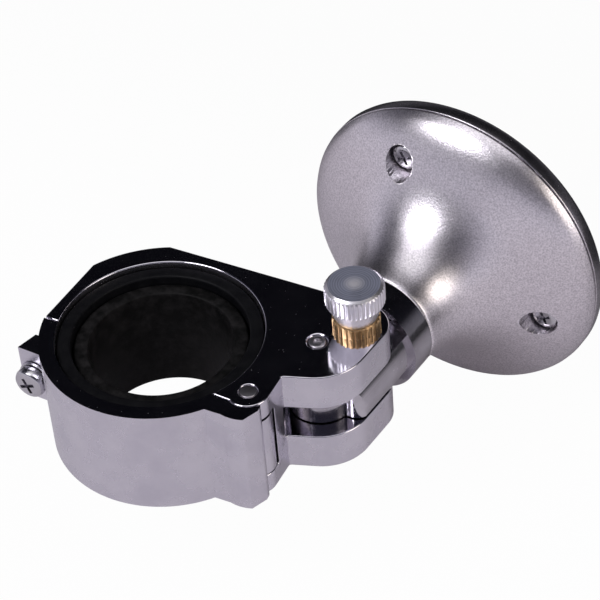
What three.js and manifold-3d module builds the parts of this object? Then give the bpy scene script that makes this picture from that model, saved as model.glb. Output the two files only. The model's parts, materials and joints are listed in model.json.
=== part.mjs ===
// Small round mirror head on a hinged tube clamp, after a real folding and swivelling fitting.
// Millimetres and degrees. +Z runs along the clamped tube, the origin is on the tube's axis at the
// clamp's lower face, and +X points from the tube to the pivot of the folding joint.
import * as THREE from 'three';
import { mergeVertices } from 'three/addons/utils/BufferGeometryUtils.js';
import Module from 'manifold-3d';

const wasm = await Module();
wasm.setup();

// ---- Driving dimensions: clamp ring -------------------------------------------------------
const clamp_height = 21.1;
const bore_radius = 18; // metal bore, which the rubber sleeves line
const ring_wall = 2.7;
const crown_wall = 4.1; // thicker wall over the far side of the body
const flank_wall = 1.96; // from the bore to the body's flat flank
const split_gap = 0.4; // between body and jaw where they meet
const running_gap = 0.3; // between faces that slide or turn past each other
const pin_gap = 0.1; // radial, round a pin in its hole

// ---- Hinge of the jaw ---------------------------------------------------------------------
const hinge_wall = 3.6; // from the bore to the hinge pin's axis
const hinge_azimuth = -36.3;
const hinge_pin_radius = 1.45;
const knuckle_radius = 3.65;
const leaf_height = 4.0; // body leaf above and below the jaw's knuckle
const split_azimuth = 158.5; // seen from the hinge pin
const parting_azimuth = 218; // where the leaf's round end begins, seen from the hinge pin
const jaw_boss_radius = 6.8; // outer round of the jaw about the hinge pin
const jaw_boss_from = 238;
const jaw_boss_to = 272;
const jaw_tip_azimuth = 310; // inner end of the jaw's wall round the leaf
const jaw_tip_width = 0.95;
const jaw_bevel_azimuth = 298;
const jaw_neck_azimuth = -58.3; // where the jaw's round leaves the ring, seen from the tube axis

// ---- Clamp screw and its lugs -------------------------------------------------------------
const screw_wall = 2.4; // from the bore to the screw's axis, along the split
const screw_shank_radius = 1.25;
const screw_head_radius = 2.9;
const screw_head_height = 2.2;
const screw_reach = 4.0; // shank beyond the split
const screw_hole_gap = 0.5; // the screw swings out of its hole on an arc
const washer_thickness = 0.5;
const washer_gap = 0.15; // on each side of the washer
const washer_radius = 3.1;
const lug_reach = 3.1; // jaw's lug beyond the screw axis
const lug_slant = 1.0; // how much shorter the jaw's lug is at the split
const jaw_lug_height = 11.0;
const jaw_lug_thickness = 4.2;
const body_lug_reach = 2.2;
const body_lug_height = 5.4;
const body_lug_thickness = 2.4;
const lug_root = 2.6; // how far a lug reaches into the ring

// ---- Folding joint ------------------------------------------------------------------------
const pivot_wall = 9.1; // from the bore to the pivot, along X
const ear_radius = 9.0; // ears round the pivot
const ear_thickness = 7.2;
const slot_azimuth = 10.8; // back wall of the slot between the ears
const slot_wall = 2.4; // from the bore to that back wall
const facet_azimuth = -17.4;
const pivot_pin_radius = 1.5;
const pivot_chamfer = 0.5; // width of the countersink round the pin
const pivot_chamfer_depth = 0.32;
const head_azimuth = 65; // direction of the head's axis at rest
const far_edge_azimuth = 72; // outward direction of the ears' far edge

// ---- Index plunger ------------------------------------------------------------------------
const plunger_distance = 7.65; // from the pivot
const plunger_azimuth = 37.6;
const plunger_pin_radius = 1.5;
const plunger_engagement = 2.8; // tip below the tongue's top
const shoulder_radius = 2.35;
const shoulder_height = 0.7;
const bush_radius = 4.15;
const bush_flange = 2.0;
const bush_stem_radius = 3.15;
const bush_cavity_radius = 2.65;
const bush_roof = 0.7;
const bush_knurls = 25;
const bush_knurl_depth = 0.28;
const spring_mean_radius = 2.08;
const spring_wire_radius = 0.27;
const spring_turns = 5.5;
const knob_radius = 5.15;
const knob_foot_radius = 3.55;
const knob_taper = 3.7;
const knob_band = 2.8;
const knob_chamfer = 0.7;
const knob_knurls = 40;
const knob_knurl_depth = 0.24;
const knob_bore_depth = 5.0;

// ---- Neck and swivel, measured along the head's axis from the pivot -----------------------
const head_height = 9.3; // head's axis above the clamp's lower face
const tongue_radius = 9.0; // round bar that the tongue is cut from
const tongue_end_radius = 5.8;
const tongue_shoulder = -1.2;
const shoulder_corner = 2.4;
const collar_start = 14.6;
const collar_radius = 10.0;
const collar_length = 5.4;
const spindle_radius = 4.0;
const spindle_length = 6.9;
const stud_radius = 2.5;
const stud_length = 6.2;
const thrust_washer_thickness = 0.5;
const thrust_washer_radius = 7.4;
const bush_wall = 1.2;
const flat_washer_radius = 6.6;
const flat_washer_thickness = 0.9;
const wave_washer_radius = 5.2;
const wave_washer_thickness = 0.5;
const nut_radius = 4.6;
const nut_height = 3.2;

// ---- Head ---------------------------------------------------------------------------------
const shell_wall = 1.8;
const shell_web = 5.2; // solid root of the shell round the swivel bush
const rim_radius = 29.4;
const rim_position = 43.8; // seam between shell and bezel
// The trumpet's knots, outwards and forwards, as drawn for a flare of flare_span.
const flare_span = [19.5, 23.5];
const flare_knots = [
  [0, 0], [0.5, 3.7], [1.7, 7.2], [3.7, 10.5], [6.3, 13.3], [9.3, 15.6],
  [12.2, 17.2], [14.7, 18.6], [16.9, 20.1],
];
const bezel_depth = 3.8;
const bezel_wall = 2.0;
const bezel_flange = 0.5;
const bezel_lip = 0.6;
const bezel_lip_width = 1.6;
const carrier_thickness = 0.8;
const glass_thickness = 1.0;
const glass_sag = 3.4;
const pad_radius = 15;
const stack_gap = 0.2; // between pieces stacked in the head
const shell_screw_count = 3;
const shell_screw_inset = 7.5; // screws' circle inside the rim
const shell_screw_first = 72; // azimuth of the first screw about the head's axis
const shell_screw_face = 39.1; // position of the screw heads' faces
const shell_screw_head_radius = 2.55;
const shell_screw_head_height = 1.8;
const shell_screw_shank_radius = 1.3;
const shell_screw_length = 7.2;
const shell_screw_pocket_gap = 0.4;
const shell_boss_wall = 1.4;
const shell_boss_floor = 1.3;

// ---- Rubber sleeves -----------------------------------------------------------------------
const outer_sleeve_wall = 2.4;
const outer_sleeve_top = 1.0; // below the clamp's upper face
const outer_sleeve_length = 18.6;
const inner_sleeve_wall = 2.5;
const inner_sleeve_top = 2.5;
const inner_sleeve_length = 20.6;

// ---- Fineness of round shapes -------------------------------------------------------------
const ring_segments = 80;
const head_segments = 64;
const small_segments = 28;
const profile_steps = 12; // along a curved profile
const through = 5; // how far a cutter runs past the faces it cuts

// ---- Places worked out from the dimensions ------------------------------------------------
const rad = THREE.MathUtils.degToRad;
const polar = (radius, azimuth, centre = [0, 0]) => [
  centre[0] + radius * Math.cos(rad(azimuth)),
  centre[1] + radius * Math.sin(rad(azimuth)),
];
const ring_radius = bore_radius + ring_wall;
const crown_radius = bore_radius + crown_wall;
const flank_offset = bore_radius + flank_wall;
const slot_offset = bore_radius + slot_wall;
const hinge = polar(bore_radius + hinge_wall, hinge_azimuth);
const pivot = [bore_radius + pivot_wall, 0];
const plunger = polar(plunger_distance, plunger_azimuth, pivot);
const slot_floor = ear_thickness;
const slot_roof = clamp_height - ear_thickness;
const tongue_bottom = slot_floor + running_gap;
const tongue_top = slot_roof - running_gap;
const knuckle_bottom = leaf_height + running_gap;
const knuckle_top = clamp_height - leaf_height - running_gap;
// The ears' end round sits on the plunger's axis and is flush with the near side of the neck.
const plunger_side = plunger_distance * Math.sin(rad(head_azimuth - plunger_azimuth));
const ear_end_radius = ear_radius - plunger_side;
const collar_end = collar_start + collar_length;
const shell_screw_circle = rim_radius - shell_screw_inset;
const shell_start = collar_end + running_gap;
const shell_recess = collar_end + thrust_washer_thickness + 2 * stack_gap; // seat of the thrust washer
const shell_cavity = shell_start + shell_web;
const bezel_start = rim_position + stack_gap;
const bezel_end = bezel_start + bezel_depth;

// ---- Small geometry tools -----------------------------------------------------------------
function toSolid(geometry) {
  const bare = geometry.index ? geometry.toNonIndexed() : geometry.clone();
  bare.deleteAttribute('normal');
  bare.deleteAttribute('uv');
  const merged = mergeVertices(bare, 1e-5);
  return new wasm.Manifold(new wasm.Mesh({
    numProp: 3,
    vertProperties: new Float32Array(merged.attributes.position.array),
    triVerts: new Uint32Array(merged.index.array),
  }));
}

function toGeometry(solid) {
  const mesh = solid.getMesh();
  const geometry = new THREE.BufferGeometry();
  geometry.setAttribute('position', new THREE.BufferAttribute(mesh.vertProperties.slice(), 3));
  geometry.setIndex(new THREE.BufferAttribute(mesh.triVerts.slice(), 1));
  geometry.computeVertexNormals();
  return geometry;
}

// A plan outline raised from one height to another.
function prism(shape, bottom, top, segments = small_segments) {
  const geometry = new THREE.ExtrudeGeometry(shape, {
    depth: top - bottom, bevelEnabled: false, curveSegments: segments,
  });
  return geometry.translate(0, 0, bottom);
}

function polygon(points) {
  return new THREE.Shape(points.map(([x, y]) => new THREE.Vector2(x, y)));
}

function disc(radius, bottom, top, centre = [0, 0], segments = small_segments) {
  const geometry = new THREE.CylinderGeometry(radius, radius, top - bottom, segments);
  return geometry.rotateX(Math.PI / 2).translate(centre[0], centre[1], (top + bottom) / 2);
}

// A [radius, height] profile turned about Z.
function turned(profile, segments = small_segments) {
  const points = profile.map(([radius, height]) => new THREE.Vector2(radius, height));
  const geometry = new THREE.LatheGeometry(points, segments);
  return geometry.rotateX(Math.PI / 2);
}

function closed(profile) {
  return [...profile, profile[0]];
}

function ringProfile(inner, outer, bottom, top) {
  return closed([[inner, bottom], [outer, bottom], [outer, top], [inner, top]]);
}

// Points on a plan arc, both ends included; a negative sweep runs clockwise.
function arcPoints(centre, radius, from, to, segments) {
  return Array.from({ length: segments + 1 }, (_, i) => (
    polar(radius, from + ((to - from) * i) / segments, centre)
  ));
}

// A round with shallow flutes, for knurled edges.
function knurledShape(radius, depth, count) {
  const points = [];
  for (let i = 0; i < count; i += 1) {
    const pitch = 360 / count;
    points.push(polar(radius, (i + 0.18) * pitch), polar(radius, (i + 0.52) * pitch));
    const floor = radius - depth;
    points.push(polar(floor, (i + 0.68) * pitch), polar(floor, (i + 1.02) * pitch));
  }
  return polygon(points);
}

// A cross recess cut into a screw head whose face is at a height.
function crossRecess(face, reach, width, depth) {
  const middle = face - depth / 2 + 0.5;
  const arm = () => new THREE.BoxGeometry(2 * reach, width, depth + 1).translate(0, 0, middle);
  return toSolid(arm()).add(toSolid(arm().rotateZ(Math.PI / 2)));
}

// A pan head with its face at z = 0 and its shank running down to z = -length.
function panScrew(headRadius, headHeight, shankRadius, length) {
  const crown = 0.3 * headHeight;
  const blank = toSolid(turned([
    [0, -length], [shankRadius - 0.25, -length], [shankRadius, -length + 0.4],
    [shankRadius, -headHeight], [headRadius, -headHeight],
    [headRadius, -crown - 0.25], [headRadius * 0.9, -crown * 0.45], [headRadius * 0.66, 0], [0, 0],
  ]));
  return toGeometry(blank.subtract(crossRecess(0, headRadius * 0.58, headRadius * 0.22, headHeight * 0.6)));
}

// ---- Plan outlines of the clamp -----------------------------------------------------------
// Along the split seen from the hinge pin, and across it towards the body.
const along = [Math.cos(rad(split_azimuth)), Math.sin(rad(split_azimuth))];
const across = [along[1], -along[0]];
const hinge_reach = hinge[0] * along[0] + hinge[1] * along[1];
const screw_distance = bore_radius + screw_wall - hinge_reach; // from the hinge pin
const onSplit = (distance, offset) => [
  hinge[0] + distance * along[0] + offset * across[0],
  hinge[1] + distance * along[1] + offset * across[1],
];

// Distance along the split at which it crosses a circle about the tube axis.
function splitCrossing(radius, offset) {
  const start = onSplit(0, offset);
  const reach = start[0] * along[0] + start[1] * along[1];
  const side = start[0] ** 2 + start[1] ** 2 - radius ** 2;
  return -reach + Math.sqrt(reach ** 2 - side);
}

// Along the inner parting line, parallel to the split, seen from the leaf's round end.
function onParting(distance, radius) {
  const start = polar(radius, parting_azimuth, hinge);
  return [start[0] + distance * along[0], start[1] + distance * along[1]];
}

const parting_run = 8; // the parting line ends inside the bore, which is cut afterwards
const inside_bore = 30; // a place along the split that lies inside the bore

function bodyOutline() {
  const offset = split_gap / 2;
  const far_offset = plunger[0] * Math.cos(rad(far_edge_azimuth))
    + plunger[1] * Math.sin(rad(far_edge_azimuth)) + ear_end_radius;
  // The ears' far edge runs to the crown, or to its nearest point where it passes outside.
  const far_share = Math.min(1, far_offset / crown_radius);
  const crown_from = far_edge_azimuth + THREE.MathUtils.radToDeg(Math.acos(far_share));
  const crown_to = split_azimuth - THREE.MathUtils.radToDeg(Math.acos(flank_offset / crown_radius));
  const flank_distance = flank_offset - hinge_reach;
  const facet_foot = polar(knuckle_radius, facet_azimuth, hinge);
  const facet_run = (-ear_radius - facet_foot[1]) / Math.sin(rad(facet_azimuth + 90));
  const facet_top = [facet_foot[0] + facet_run * Math.cos(rad(facet_azimuth + 90)), -ear_radius];
  const side = head_azimuth - 90;
  return polygon([
    onSplit(inside_bore, offset),
    onParting(parting_run, knuckle_radius),
    ...arcPoints(hinge, knuckle_radius, parting_azimuth, facet_azimuth + 360, 28),
    facet_top,
    ...arcPoints(pivot, ear_radius, -90, side, 22),
    ...arcPoints(plunger, ear_end_radius, side, far_edge_azimuth, 24),
    ...arcPoints([0, 0], crown_radius, crown_from, crown_to, 16),
    onSplit(flank_distance, offset),
  ]);
}

function jawOutline() {
  const offset = -split_gap / 2;
  const start = onSplit(splitCrossing(ring_radius, offset), offset);
  const from = THREE.MathUtils.radToDeg(Math.atan2(start[1], start[0]));
  const leaf = knuckle_radius + running_gap;
  return polygon([
    onSplit(inside_bore, offset),
    ...arcPoints([0, 0], ring_radius, from, jaw_neck_azimuth + 360, 60),
    ...arcPoints(hinge, jaw_boss_radius, jaw_boss_from, jaw_boss_to, 12),
    polar(leaf + 1.1, jaw_bevel_azimuth, hinge),
    polar(leaf + jaw_tip_width * 0.4, jaw_tip_azimuth - 3, hinge),
    polar(leaf, jaw_tip_azimuth, hinge),
    ...arcPoints(hinge, knuckle_radius, jaw_tip_azimuth, 360 + parting_azimuth - 60, 40),
    onParting(parting_run, knuckle_radius),
  ]);
}

// The room that one leaf of the body needs inside the jaw.
function leafRoom(bottom, top) {
  const radius = knuckle_radius + running_gap;
  const wedge = polygon([
    onParting(parting_run, radius), ...arcPoints(hinge, radius, parting_azimuth, 310, 16),
    polar(radius, 340, hinge), polar(radius, 30, hinge), polar(radius + 4, 110, hinge),
  ]);
  return toSolid(prism(wedge, bottom, top)).add(toSolid(disc(radius, bottom, top, hinge)));
}

// The room that the jaw's knuckle needs inside the body.
function knuckleRoom() {
  const radius = knuckle_radius + running_gap;
  const bottom = leaf_height;
  const top = clamp_height - leaf_height;
  const wedge = polygon([
    hinge, polar(radius + 6, 140, hinge), polar(radius + 6, parting_azimuth, hinge),
  ]);
  return toSolid(disc(radius, bottom, top, hinge)).add(toSolid(prism(wedge, bottom, top)));
}

// Turns a solid that stands on Z so that it runs along the screw, from the split towards the body.
function alongScrew(geometry) {
  const place = new THREE.Matrix4().makeBasis(
    new THREE.Vector3(along[0], along[1], 0),
    new THREE.Vector3(0, 0, 1),
    new THREE.Vector3(across[0], across[1], 0),
  );
  const [x, y] = onSplit(screw_distance, 0);
  place.setPosition(x, y, clamp_height / 2);
  return geometry.applyMatrix4(place);
}

// A lug between two offsets from the split, which reaches past the screw by as much at each.
function lug(from, to, reachFrom, reachTo, height) {
  const root = splitCrossing(ring_radius, from) - lug_root;
  const outline = [
    onSplit(root, from), onSplit(screw_distance + reachFrom, from),
    onSplit(screw_distance + reachTo, to), onSplit(root, to),
  ];
  if (to > from) outline.reverse();
  return toSolid(prism(polygon(outline), (clamp_height - height) / 2, (clamp_height + height) / 2));
}

// ---- Clamp pieces -------------------------------------------------------------------------
function clampBody() {
  const half = split_gap / 2;
  const screw_hole = screw_shank_radius + screw_hole_gap;
  const pocket = [
    polar(slot_offset, slot_azimuth), polar(60, slot_azimuth),
  ];
  const wall = [-Math.sin(rad(slot_azimuth)), Math.cos(rad(slot_azimuth))];
  const slot = polygon([
    [pocket[0][0] - 40 * wall[0], pocket[0][1] - 40 * wall[1]],
    [pocket[1][0] - 40 * wall[0], pocket[1][1] - 40 * wall[1]],
    [pocket[1][0] + 40 * wall[0], pocket[1][1] + 40 * wall[1]],
    [pocket[0][0] + 40 * wall[0], pocket[0][1] + 40 * wall[1]],
  ]);
  const pivot_hole = pivot_pin_radius + pin_gap;
  const chamfer_foot = clamp_height - pivot_chamfer_depth;
  const chamfer = turned([
    [0, chamfer_foot], [pivot_hole, chamfer_foot], [pivot_hole + pivot_chamfer, clamp_height],
    [pivot_hole + pivot_chamfer, clamp_height + 1], [0, clamp_height + 1],
  ]).translate(pivot[0], pivot[1], 0);
  return toSolid(prism(bodyOutline(), 0, clamp_height))
    .add(lug(half, body_lug_thickness, body_lug_reach, body_lug_reach, body_lug_height))
    .subtract(toSolid(disc(bore_radius, -through, clamp_height + through, [0, 0], ring_segments)))
    .subtract(toSolid(prism(slot, slot_floor, slot_roof)))
    .subtract(knuckleRoom())
    .subtract(toSolid(disc(hinge_pin_radius + pin_gap, -through, clamp_height + through, hinge)))
    .subtract(toSolid(disc(pivot_hole, -through, clamp_height + through, pivot)))
    .subtract(toSolid(chamfer))
    .subtract(toSolid(disc(bush_stem_radius + pin_gap, slot_roof - 1, clamp_height + through, plunger)))
    .subtract(toSolid(alongScrew(disc(screw_hole, -1, body_lug_thickness + through))));
}

function clampJaw() {
  const half = -split_gap / 2;
  const screw_hole = screw_shank_radius + running_gap;
  const spot_face = disc(washer_radius + running_gap, -jaw_lug_thickness - through, -jaw_lug_thickness);
  return toSolid(prism(jawOutline(), 0, clamp_height))
    .add(lug(half, -jaw_lug_thickness, lug_reach - lug_slant, lug_reach, jaw_lug_height))
    .subtract(toSolid(alongScrew(spot_face)))
    .subtract(toSolid(disc(bore_radius, -through, clamp_height + through, [0, 0], ring_segments)))
    .subtract(leafRoom(-through, knuckle_bottom))
    .subtract(leafRoom(knuckle_top, clamp_height + through))
    .subtract(toSolid(disc(hinge_pin_radius + pin_gap, -through, clamp_height + through, hinge)))
    .subtract(toSolid(alongScrew(disc(screw_hole, -jaw_lug_thickness - through, 1))));
}

function sleeve(outer, wall, top, length) {
  const high = clamp_height - top;
  return turned(ringProfile(outer - wall, outer, high - length, high), ring_segments);
}

function clampScrew() {
  const face = -(jaw_lug_thickness + washer_thickness + 2 * washer_gap + screw_head_height);
  const length = screw_reach - face;
  const screw = panScrew(screw_head_radius, screw_head_height, screw_shank_radius, length);
  return alongScrew(screw.rotateX(Math.PI).translate(0, 0, face));
}

function clampWasher() {
  const near = -(jaw_lug_thickness + washer_gap);
  const bore = screw_shank_radius + running_gap;
  return alongScrew(turned(ringProfile(bore, washer_radius, near - washer_thickness, near)));
}

function pivotPin() {
  const end = pivot_pin_radius - 0.3;
  return turned([
    [0, 0.2], [end, 0.2], [pivot_pin_radius, 0.5], [pivot_pin_radius, clamp_height - 0.25],
    [end, clamp_height - 0.08], [0.75, clamp_height - 0.08],
    [0.55, clamp_height - 0.5], [0, clamp_height - 0.5],
  ]).translate(pivot[0], pivot[1], 0);
}

function hingePin() {
  const end = hinge_pin_radius - 0.15;
  return turned([
    [0, 0.05], [end, 0.05], [hinge_pin_radius, 0.2], [hinge_pin_radius, clamp_height - 0.2],
    [end, clamp_height - 0.05], [0, clamp_height - 0.05],
  ]).translate(hinge[0], hinge[1], 0);
}

// ---- Plunger pieces -----------------------------------------------------------------------
const bush_bottom = slot_roof + 0.2;
const bush_top = clamp_height + bush_flange;
const cavity_top = bush_top - bush_roof;
const shoulder_bottom = slot_roof + 0.4;
const knob_bottom = bush_top + 0.05;

function plungerBush() {
  const hole = plunger_pin_radius + pin_gap;
  const blank = toSolid(turned(closed([
    [bush_cavity_radius, bush_bottom], [bush_stem_radius, bush_bottom], [bush_stem_radius, clamp_height],
    [bush_radius, clamp_height], [bush_radius, bush_top], [hole, bush_top], [hole, cavity_top],
    [bush_cavity_radius, cavity_top],
  ])));
  const knurl = prism(knurledShape(bush_radius, bush_knurl_depth, bush_knurls), 0, bush_top + through);
  return toGeometry(blank.intersect(toSolid(knurl))).translate(plunger[0], plunger[1], 0);
}

function plungerKnob() {
  const bore = plunger_pin_radius + pin_gap;
  const band_bottom = knob_bottom + knob_taper;
  const band_top = band_bottom + knob_band;
  const top = band_top + knob_chamfer;
  const blank = toSolid(turned([
    [0, knob_bottom + knob_bore_depth], [bore, knob_bottom + knob_bore_depth], [bore, knob_bottom],
    [knob_foot_radius, knob_bottom], [knob_foot_radius + 0.25, knob_bottom + 0.2 * knob_taper],
    [knob_radius - 0.65, knob_bottom + 0.66 * knob_taper],
    [knob_radius, band_bottom], [knob_radius, band_top],
    [knob_radius - 0.2, band_top + 0.45 * knob_chamfer], [knob_radius - knob_chamfer, top], [0, top],
  ], 2 * small_segments));
  const knurl = prism(knurledShape(knob_radius, knob_knurl_depth, knob_knurls), 0, top + through);
  return toGeometry(blank.intersect(toSolid(knurl))).translate(plunger[0], plunger[1], 0);
}

function plungerPin() {
  const tip = tongue_top - plunger_engagement;
  const top = knob_bottom + knob_bore_depth - running_gap;
  const shoulder_top = shoulder_bottom + shoulder_height;
  return turned([
    [0, tip], [plunger_pin_radius - 0.3, tip], [plunger_pin_radius, tip + 0.3],
    [plunger_pin_radius, shoulder_bottom], [shoulder_radius, shoulder_bottom],
    [shoulder_radius, shoulder_top], [plunger_pin_radius, shoulder_top], [plunger_pin_radius, top], [0, top],
  ]).translate(plunger[0], plunger[1], 0);
}

class Helix extends THREE.Curve {
  constructor(radius, bottom, top, turns) {
    super();
    Object.assign(this, { radius, bottom, top, turns });
  }

  getPoint(t, target = new THREE.Vector3()) {
    const angle = 2 * Math.PI * this.turns * t;
    const height = this.bottom + (this.top - this.bottom) * t;
    return target.set(this.radius * Math.cos(angle), this.radius * Math.sin(angle), height);
  }
}

function plungerSpring() {
  const clear = spring_wire_radius + pin_gap;
  const path = new Helix(
    spring_mean_radius, shoulder_bottom + shoulder_height + clear, cavity_top - clear, spring_turns,
  );
  const wire = new THREE.Shape().absarc(0, 0, spring_wire_radius, 0, 2 * Math.PI);
  const geometry = new THREE.ExtrudeGeometry(wire, {
    extrudePath: path, steps: Math.round(spring_turns * 12), curveSegments: 4, bevelEnabled: false,
  });
  return geometry.translate(plunger[0], plunger[1], 0);
}

// ---- Neck ---------------------------------------------------------------------------------
// Plan of the tongue in the head's own frame: x along the head's axis, y to its far side.
function tonguePlan() {
  const near = -tongue_radius - 1;
  const far = tongue_end_radius;
  const corner = [tongue_shoulder + shoulder_corner, -tongue_radius + shoulder_corner];
  return polygon([
    [collar_start + 1, near], [corner[0], near],
    ...arcPoints([corner[0], corner[1]], shoulder_corner, 270, 180, 8),
    [tongue_shoulder, -tongue_end_radius],
    ...arcPoints([0, 0], tongue_end_radius, 260, 90, 24),
    [tongue_end_radius + 1.5, far],
    [collar_start - 2.5, tongue_radius + 1], [collar_start + 1, tongue_radius + 1],
  ].reverse());
}

// The plunger's tip runs in this track as the neck folds; its closed end is the index place.
function plungerTrack() {
  const half = plunger_pin_radius + running_gap;
  const from = plunger_azimuth - head_azimuth;
  const to = from + 130;
  const track = polygon([
    ...arcPoints([0, 0], plunger_distance + half, from, to, 30),
    ...arcPoints([0, 0], plunger_distance - half, to, from, 30),
  ]);
  const floor = tongue_top - plunger_engagement - running_gap;
  const centre = polar(plunger_distance, from);
  return toSolid(prism(track, floor, tongue_top + 1)).add(toSolid(disc(half, floor, tongue_top + 1, centre)));
}

function neckBlock() {
  const lieDown = (geometry) => geometry.rotateY(Math.PI / 2).translate(0, 0, head_height);
  const round = disc(tongue_radius, -tongue_radius, collar_start + 0.5, [0, 0], head_segments);
  const bar = toSolid(lieDown(round));
  const turnedPart = toSolid(lieDown(turned([
    [0, collar_start], [collar_radius - 0.3, collar_start], [collar_radius, collar_start + 0.3],
    [collar_radius, collar_end - 0.3], [collar_radius - 0.3, collar_end], [spindle_radius, collar_end],
    [spindle_radius, collar_end + spindle_length], [stud_radius, collar_end + spindle_length],
    [stud_radius, collar_end + spindle_length + stud_length], [0, collar_end + spindle_length + stud_length],
  ], head_segments)));
  const plan = toSolid(prism(tonguePlan(), tongue_bottom, tongue_top));
  return toGeometry(bar.intersect(plan).add(turnedPart)
    .subtract(toSolid(disc(pivot_pin_radius + pin_gap, -through, clamp_height + through)))
    .subtract(plungerTrack()));
}

// ---- Head pieces, modelled with the head's axis along Z and the pivot at z = 0 -------------
// Trumpet from the collar, then a soft shoulder out to the rim.
function shellProfile() {
  const neck = collar_radius - 0.1;
  const widen = (rim_radius - neck) / flare_span[0];
  const lengthen = (rim_position - shell_start) / flare_span[1];
  const knots = [
    ...flare_knots.map(([out, forward]) => [neck + widen * out, shell_start + lengthen * forward]),
    [rim_radius - 1.0, rim_position - 1.8], [rim_radius - 0.2, rim_position - 0.4],
    [rim_radius - 0.12, rim_position],
  ];
  const places = knots.map(([r, z]) => new THREE.Vector3(r, 0, z));
  const curve = new THREE.CatmullRomCurve3(places, false, 'centripetal');
  return curve.getPoints(profile_steps).map((point) => [point.x, point.z]);
}

// The same curve moved inwards by the wall.
function inwards(profile, wall) {
  return profile.map(([r, z], i) => {
    const before = profile[Math.max(i - 1, 0)];
    const after = profile[Math.min(i + 1, profile.length - 1)];
    const length = Math.hypot(after[0] - before[0], after[1] - before[1]);
    return [r - (wall * (after[1] - before[1])) / length, z + (wall * (after[0] - before[0])) / length];
  });
}

const screwPlaces = Array.from({ length: shell_screw_count }, (_, i) => (
  polar(shell_screw_circle, shell_screw_first + (360 * i) / shell_screw_count)
));
const screw_seat = shell_screw_face + shell_screw_head_height + stack_gap;
const boss_end = screw_seat + shell_boss_floor;
const bush_outer = spindle_radius + pin_gap + bush_wall;

function backShell() {
  const outer = shellProfile();
  const inner = inwards(outer, shell_wall).filter(([r, z]) => (
    z > shell_cavity && z < rim_position - 0.2 && r > bush_outer + 1
  ));
  const mouth = [rim_radius - shell_wall, rim_position];
  const recess = thrust_washer_radius + running_gap;
  let solid = toSolid(turned(closed([
    [bush_outer + pin_gap, shell_recess], [recess, shell_recess], [recess, shell_start],
    ...outer, mouth, ...inner.reverse(),
    [inner[inner.length - 1][0], shell_cavity], [bush_outer + pin_gap, shell_cavity],
  ]), head_segments));
  const pocket = shell_screw_head_radius + shell_screw_pocket_gap;
  const outside = toSolid(turned([[0, 0], ...outer, [0, rim_position]], head_segments));
  screwPlaces.forEach((place) => {
    const boss = toSolid(disc(pocket + shell_boss_wall, shell_cavity, boss_end, place));
    solid = solid.add(boss.intersect(outside));
  });
  screwPlaces.forEach((place) => {
    solid = solid.subtract(toSolid(disc(pocket, 0, screw_seat, place)));
    const shank_hole = disc(shell_screw_shank_radius + stack_gap, 0, rim_position + through, place);
    solid = solid.subtract(toSolid(shank_hole));
  });
  return toGeometry(solid);
}

const flange_front = bezel_start + bezel_flange;
const carrier_rear = flange_front + stack_gap;
const carrier_front = carrier_rear + carrier_thickness;
const lip_rear = bezel_end - bezel_lip;
const lip_radius = rim_radius - bezel_wall - bezel_lip_width;
const glass_radius = rim_radius - bezel_wall - stack_gap;
const glass_edge_front = lip_rear - stack_gap - domeRise(lip_radius);

// Height of the glass's spherical face above its edge.
function domeRise(radius) {
  const sphere = (glass_radius ** 2 + glass_sag ** 2) / (2 * glass_sag);
  return Math.sqrt(sphere ** 2 - radius ** 2) - Math.sqrt(sphere ** 2 - glass_radius ** 2);
}

function frontBezel() {
  const bore = rim_radius - bezel_wall;
  const rear = bore - 1.4;
  return turned(closed([
    [rear, bezel_start], [rim_radius - 0.25, bezel_start], [rim_radius, bezel_start + 0.3],
    [rim_radius, bezel_end - 1.9], [rim_radius - 0.25, bezel_end - 1.1], [rim_radius - 0.9, bezel_end - 0.35],
    [rim_radius - 1.9, bezel_end], [lip_radius, bezel_end], [lip_radius, lip_rear], [bore, lip_rear],
    [bore, flange_front], [rear, flange_front],
  ]), head_segments);
}

function mirrorCarrier() {
  const boss = 2.9;
  let solid = toSolid(disc(glass_radius, carrier_rear, carrier_front, [0, 0], head_segments));
  screwPlaces.forEach((place) => {
    solid = solid.add(toSolid(disc(boss, boss_end + stack_gap, carrier_rear + 0.2, place)));
    solid = solid.subtract(toSolid(disc(shell_screw_shank_radius + stack_gap, 0, carrier_front + 1, place)));
  });
  return toGeometry(solid);
}

// A shallow dome of even thickness, its front edge just behind the bezel's lip.
function mirrorGlass() {
  const steps = profile_steps / 2;
  const dome = (lift) => Array.from({ length: steps + 1 }, (_, i) => {
    const radius = (glass_radius * i) / steps;
    return [radius, lift + domeRise(radius)];
  });
  return turned([
    ...dome(glass_edge_front - glass_thickness), ...dome(glass_edge_front).reverse(),
  ], head_segments);
}

function foamPad() {
  const front = glass_edge_front - glass_thickness + domeRise(pad_radius) - stack_gap;
  return disc(pad_radius, carrier_front + stack_gap, front, [0, 0], small_segments);
}

function shellScrew(place) {
  const screw = panScrew(
    shell_screw_head_radius, shell_screw_head_height, shell_screw_shank_radius, shell_screw_length,
  );
  return screw.rotateX(Math.PI).translate(place[0], place[1], shell_screw_face);
}

const swivel_end = shell_cavity + 0.3;

function thrustWasher() {
  const near = collar_end + stack_gap;
  const far = near + thrust_washer_thickness;
  return turned(ringProfile(spindle_radius + stack_gap, thrust_washer_radius, near, far));
}

function swivelBush() {
  return turned(ringProfile(spindle_radius + pin_gap, bush_outer, shell_recess + 0.1, swivel_end));
}

const flat_washer_near = swivel_end + stack_gap;
const wave_washer_near = flat_washer_near + flat_washer_thickness + stack_gap;
const nut_near = Math.max(wave_washer_near + wave_washer_thickness, collar_end + spindle_length) + stack_gap;

function flatWasher() {
  return turned(ringProfile(
    spindle_radius + pin_gap, flat_washer_radius, flat_washer_near, flat_washer_near + flat_washer_thickness,
  ));
}

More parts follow.
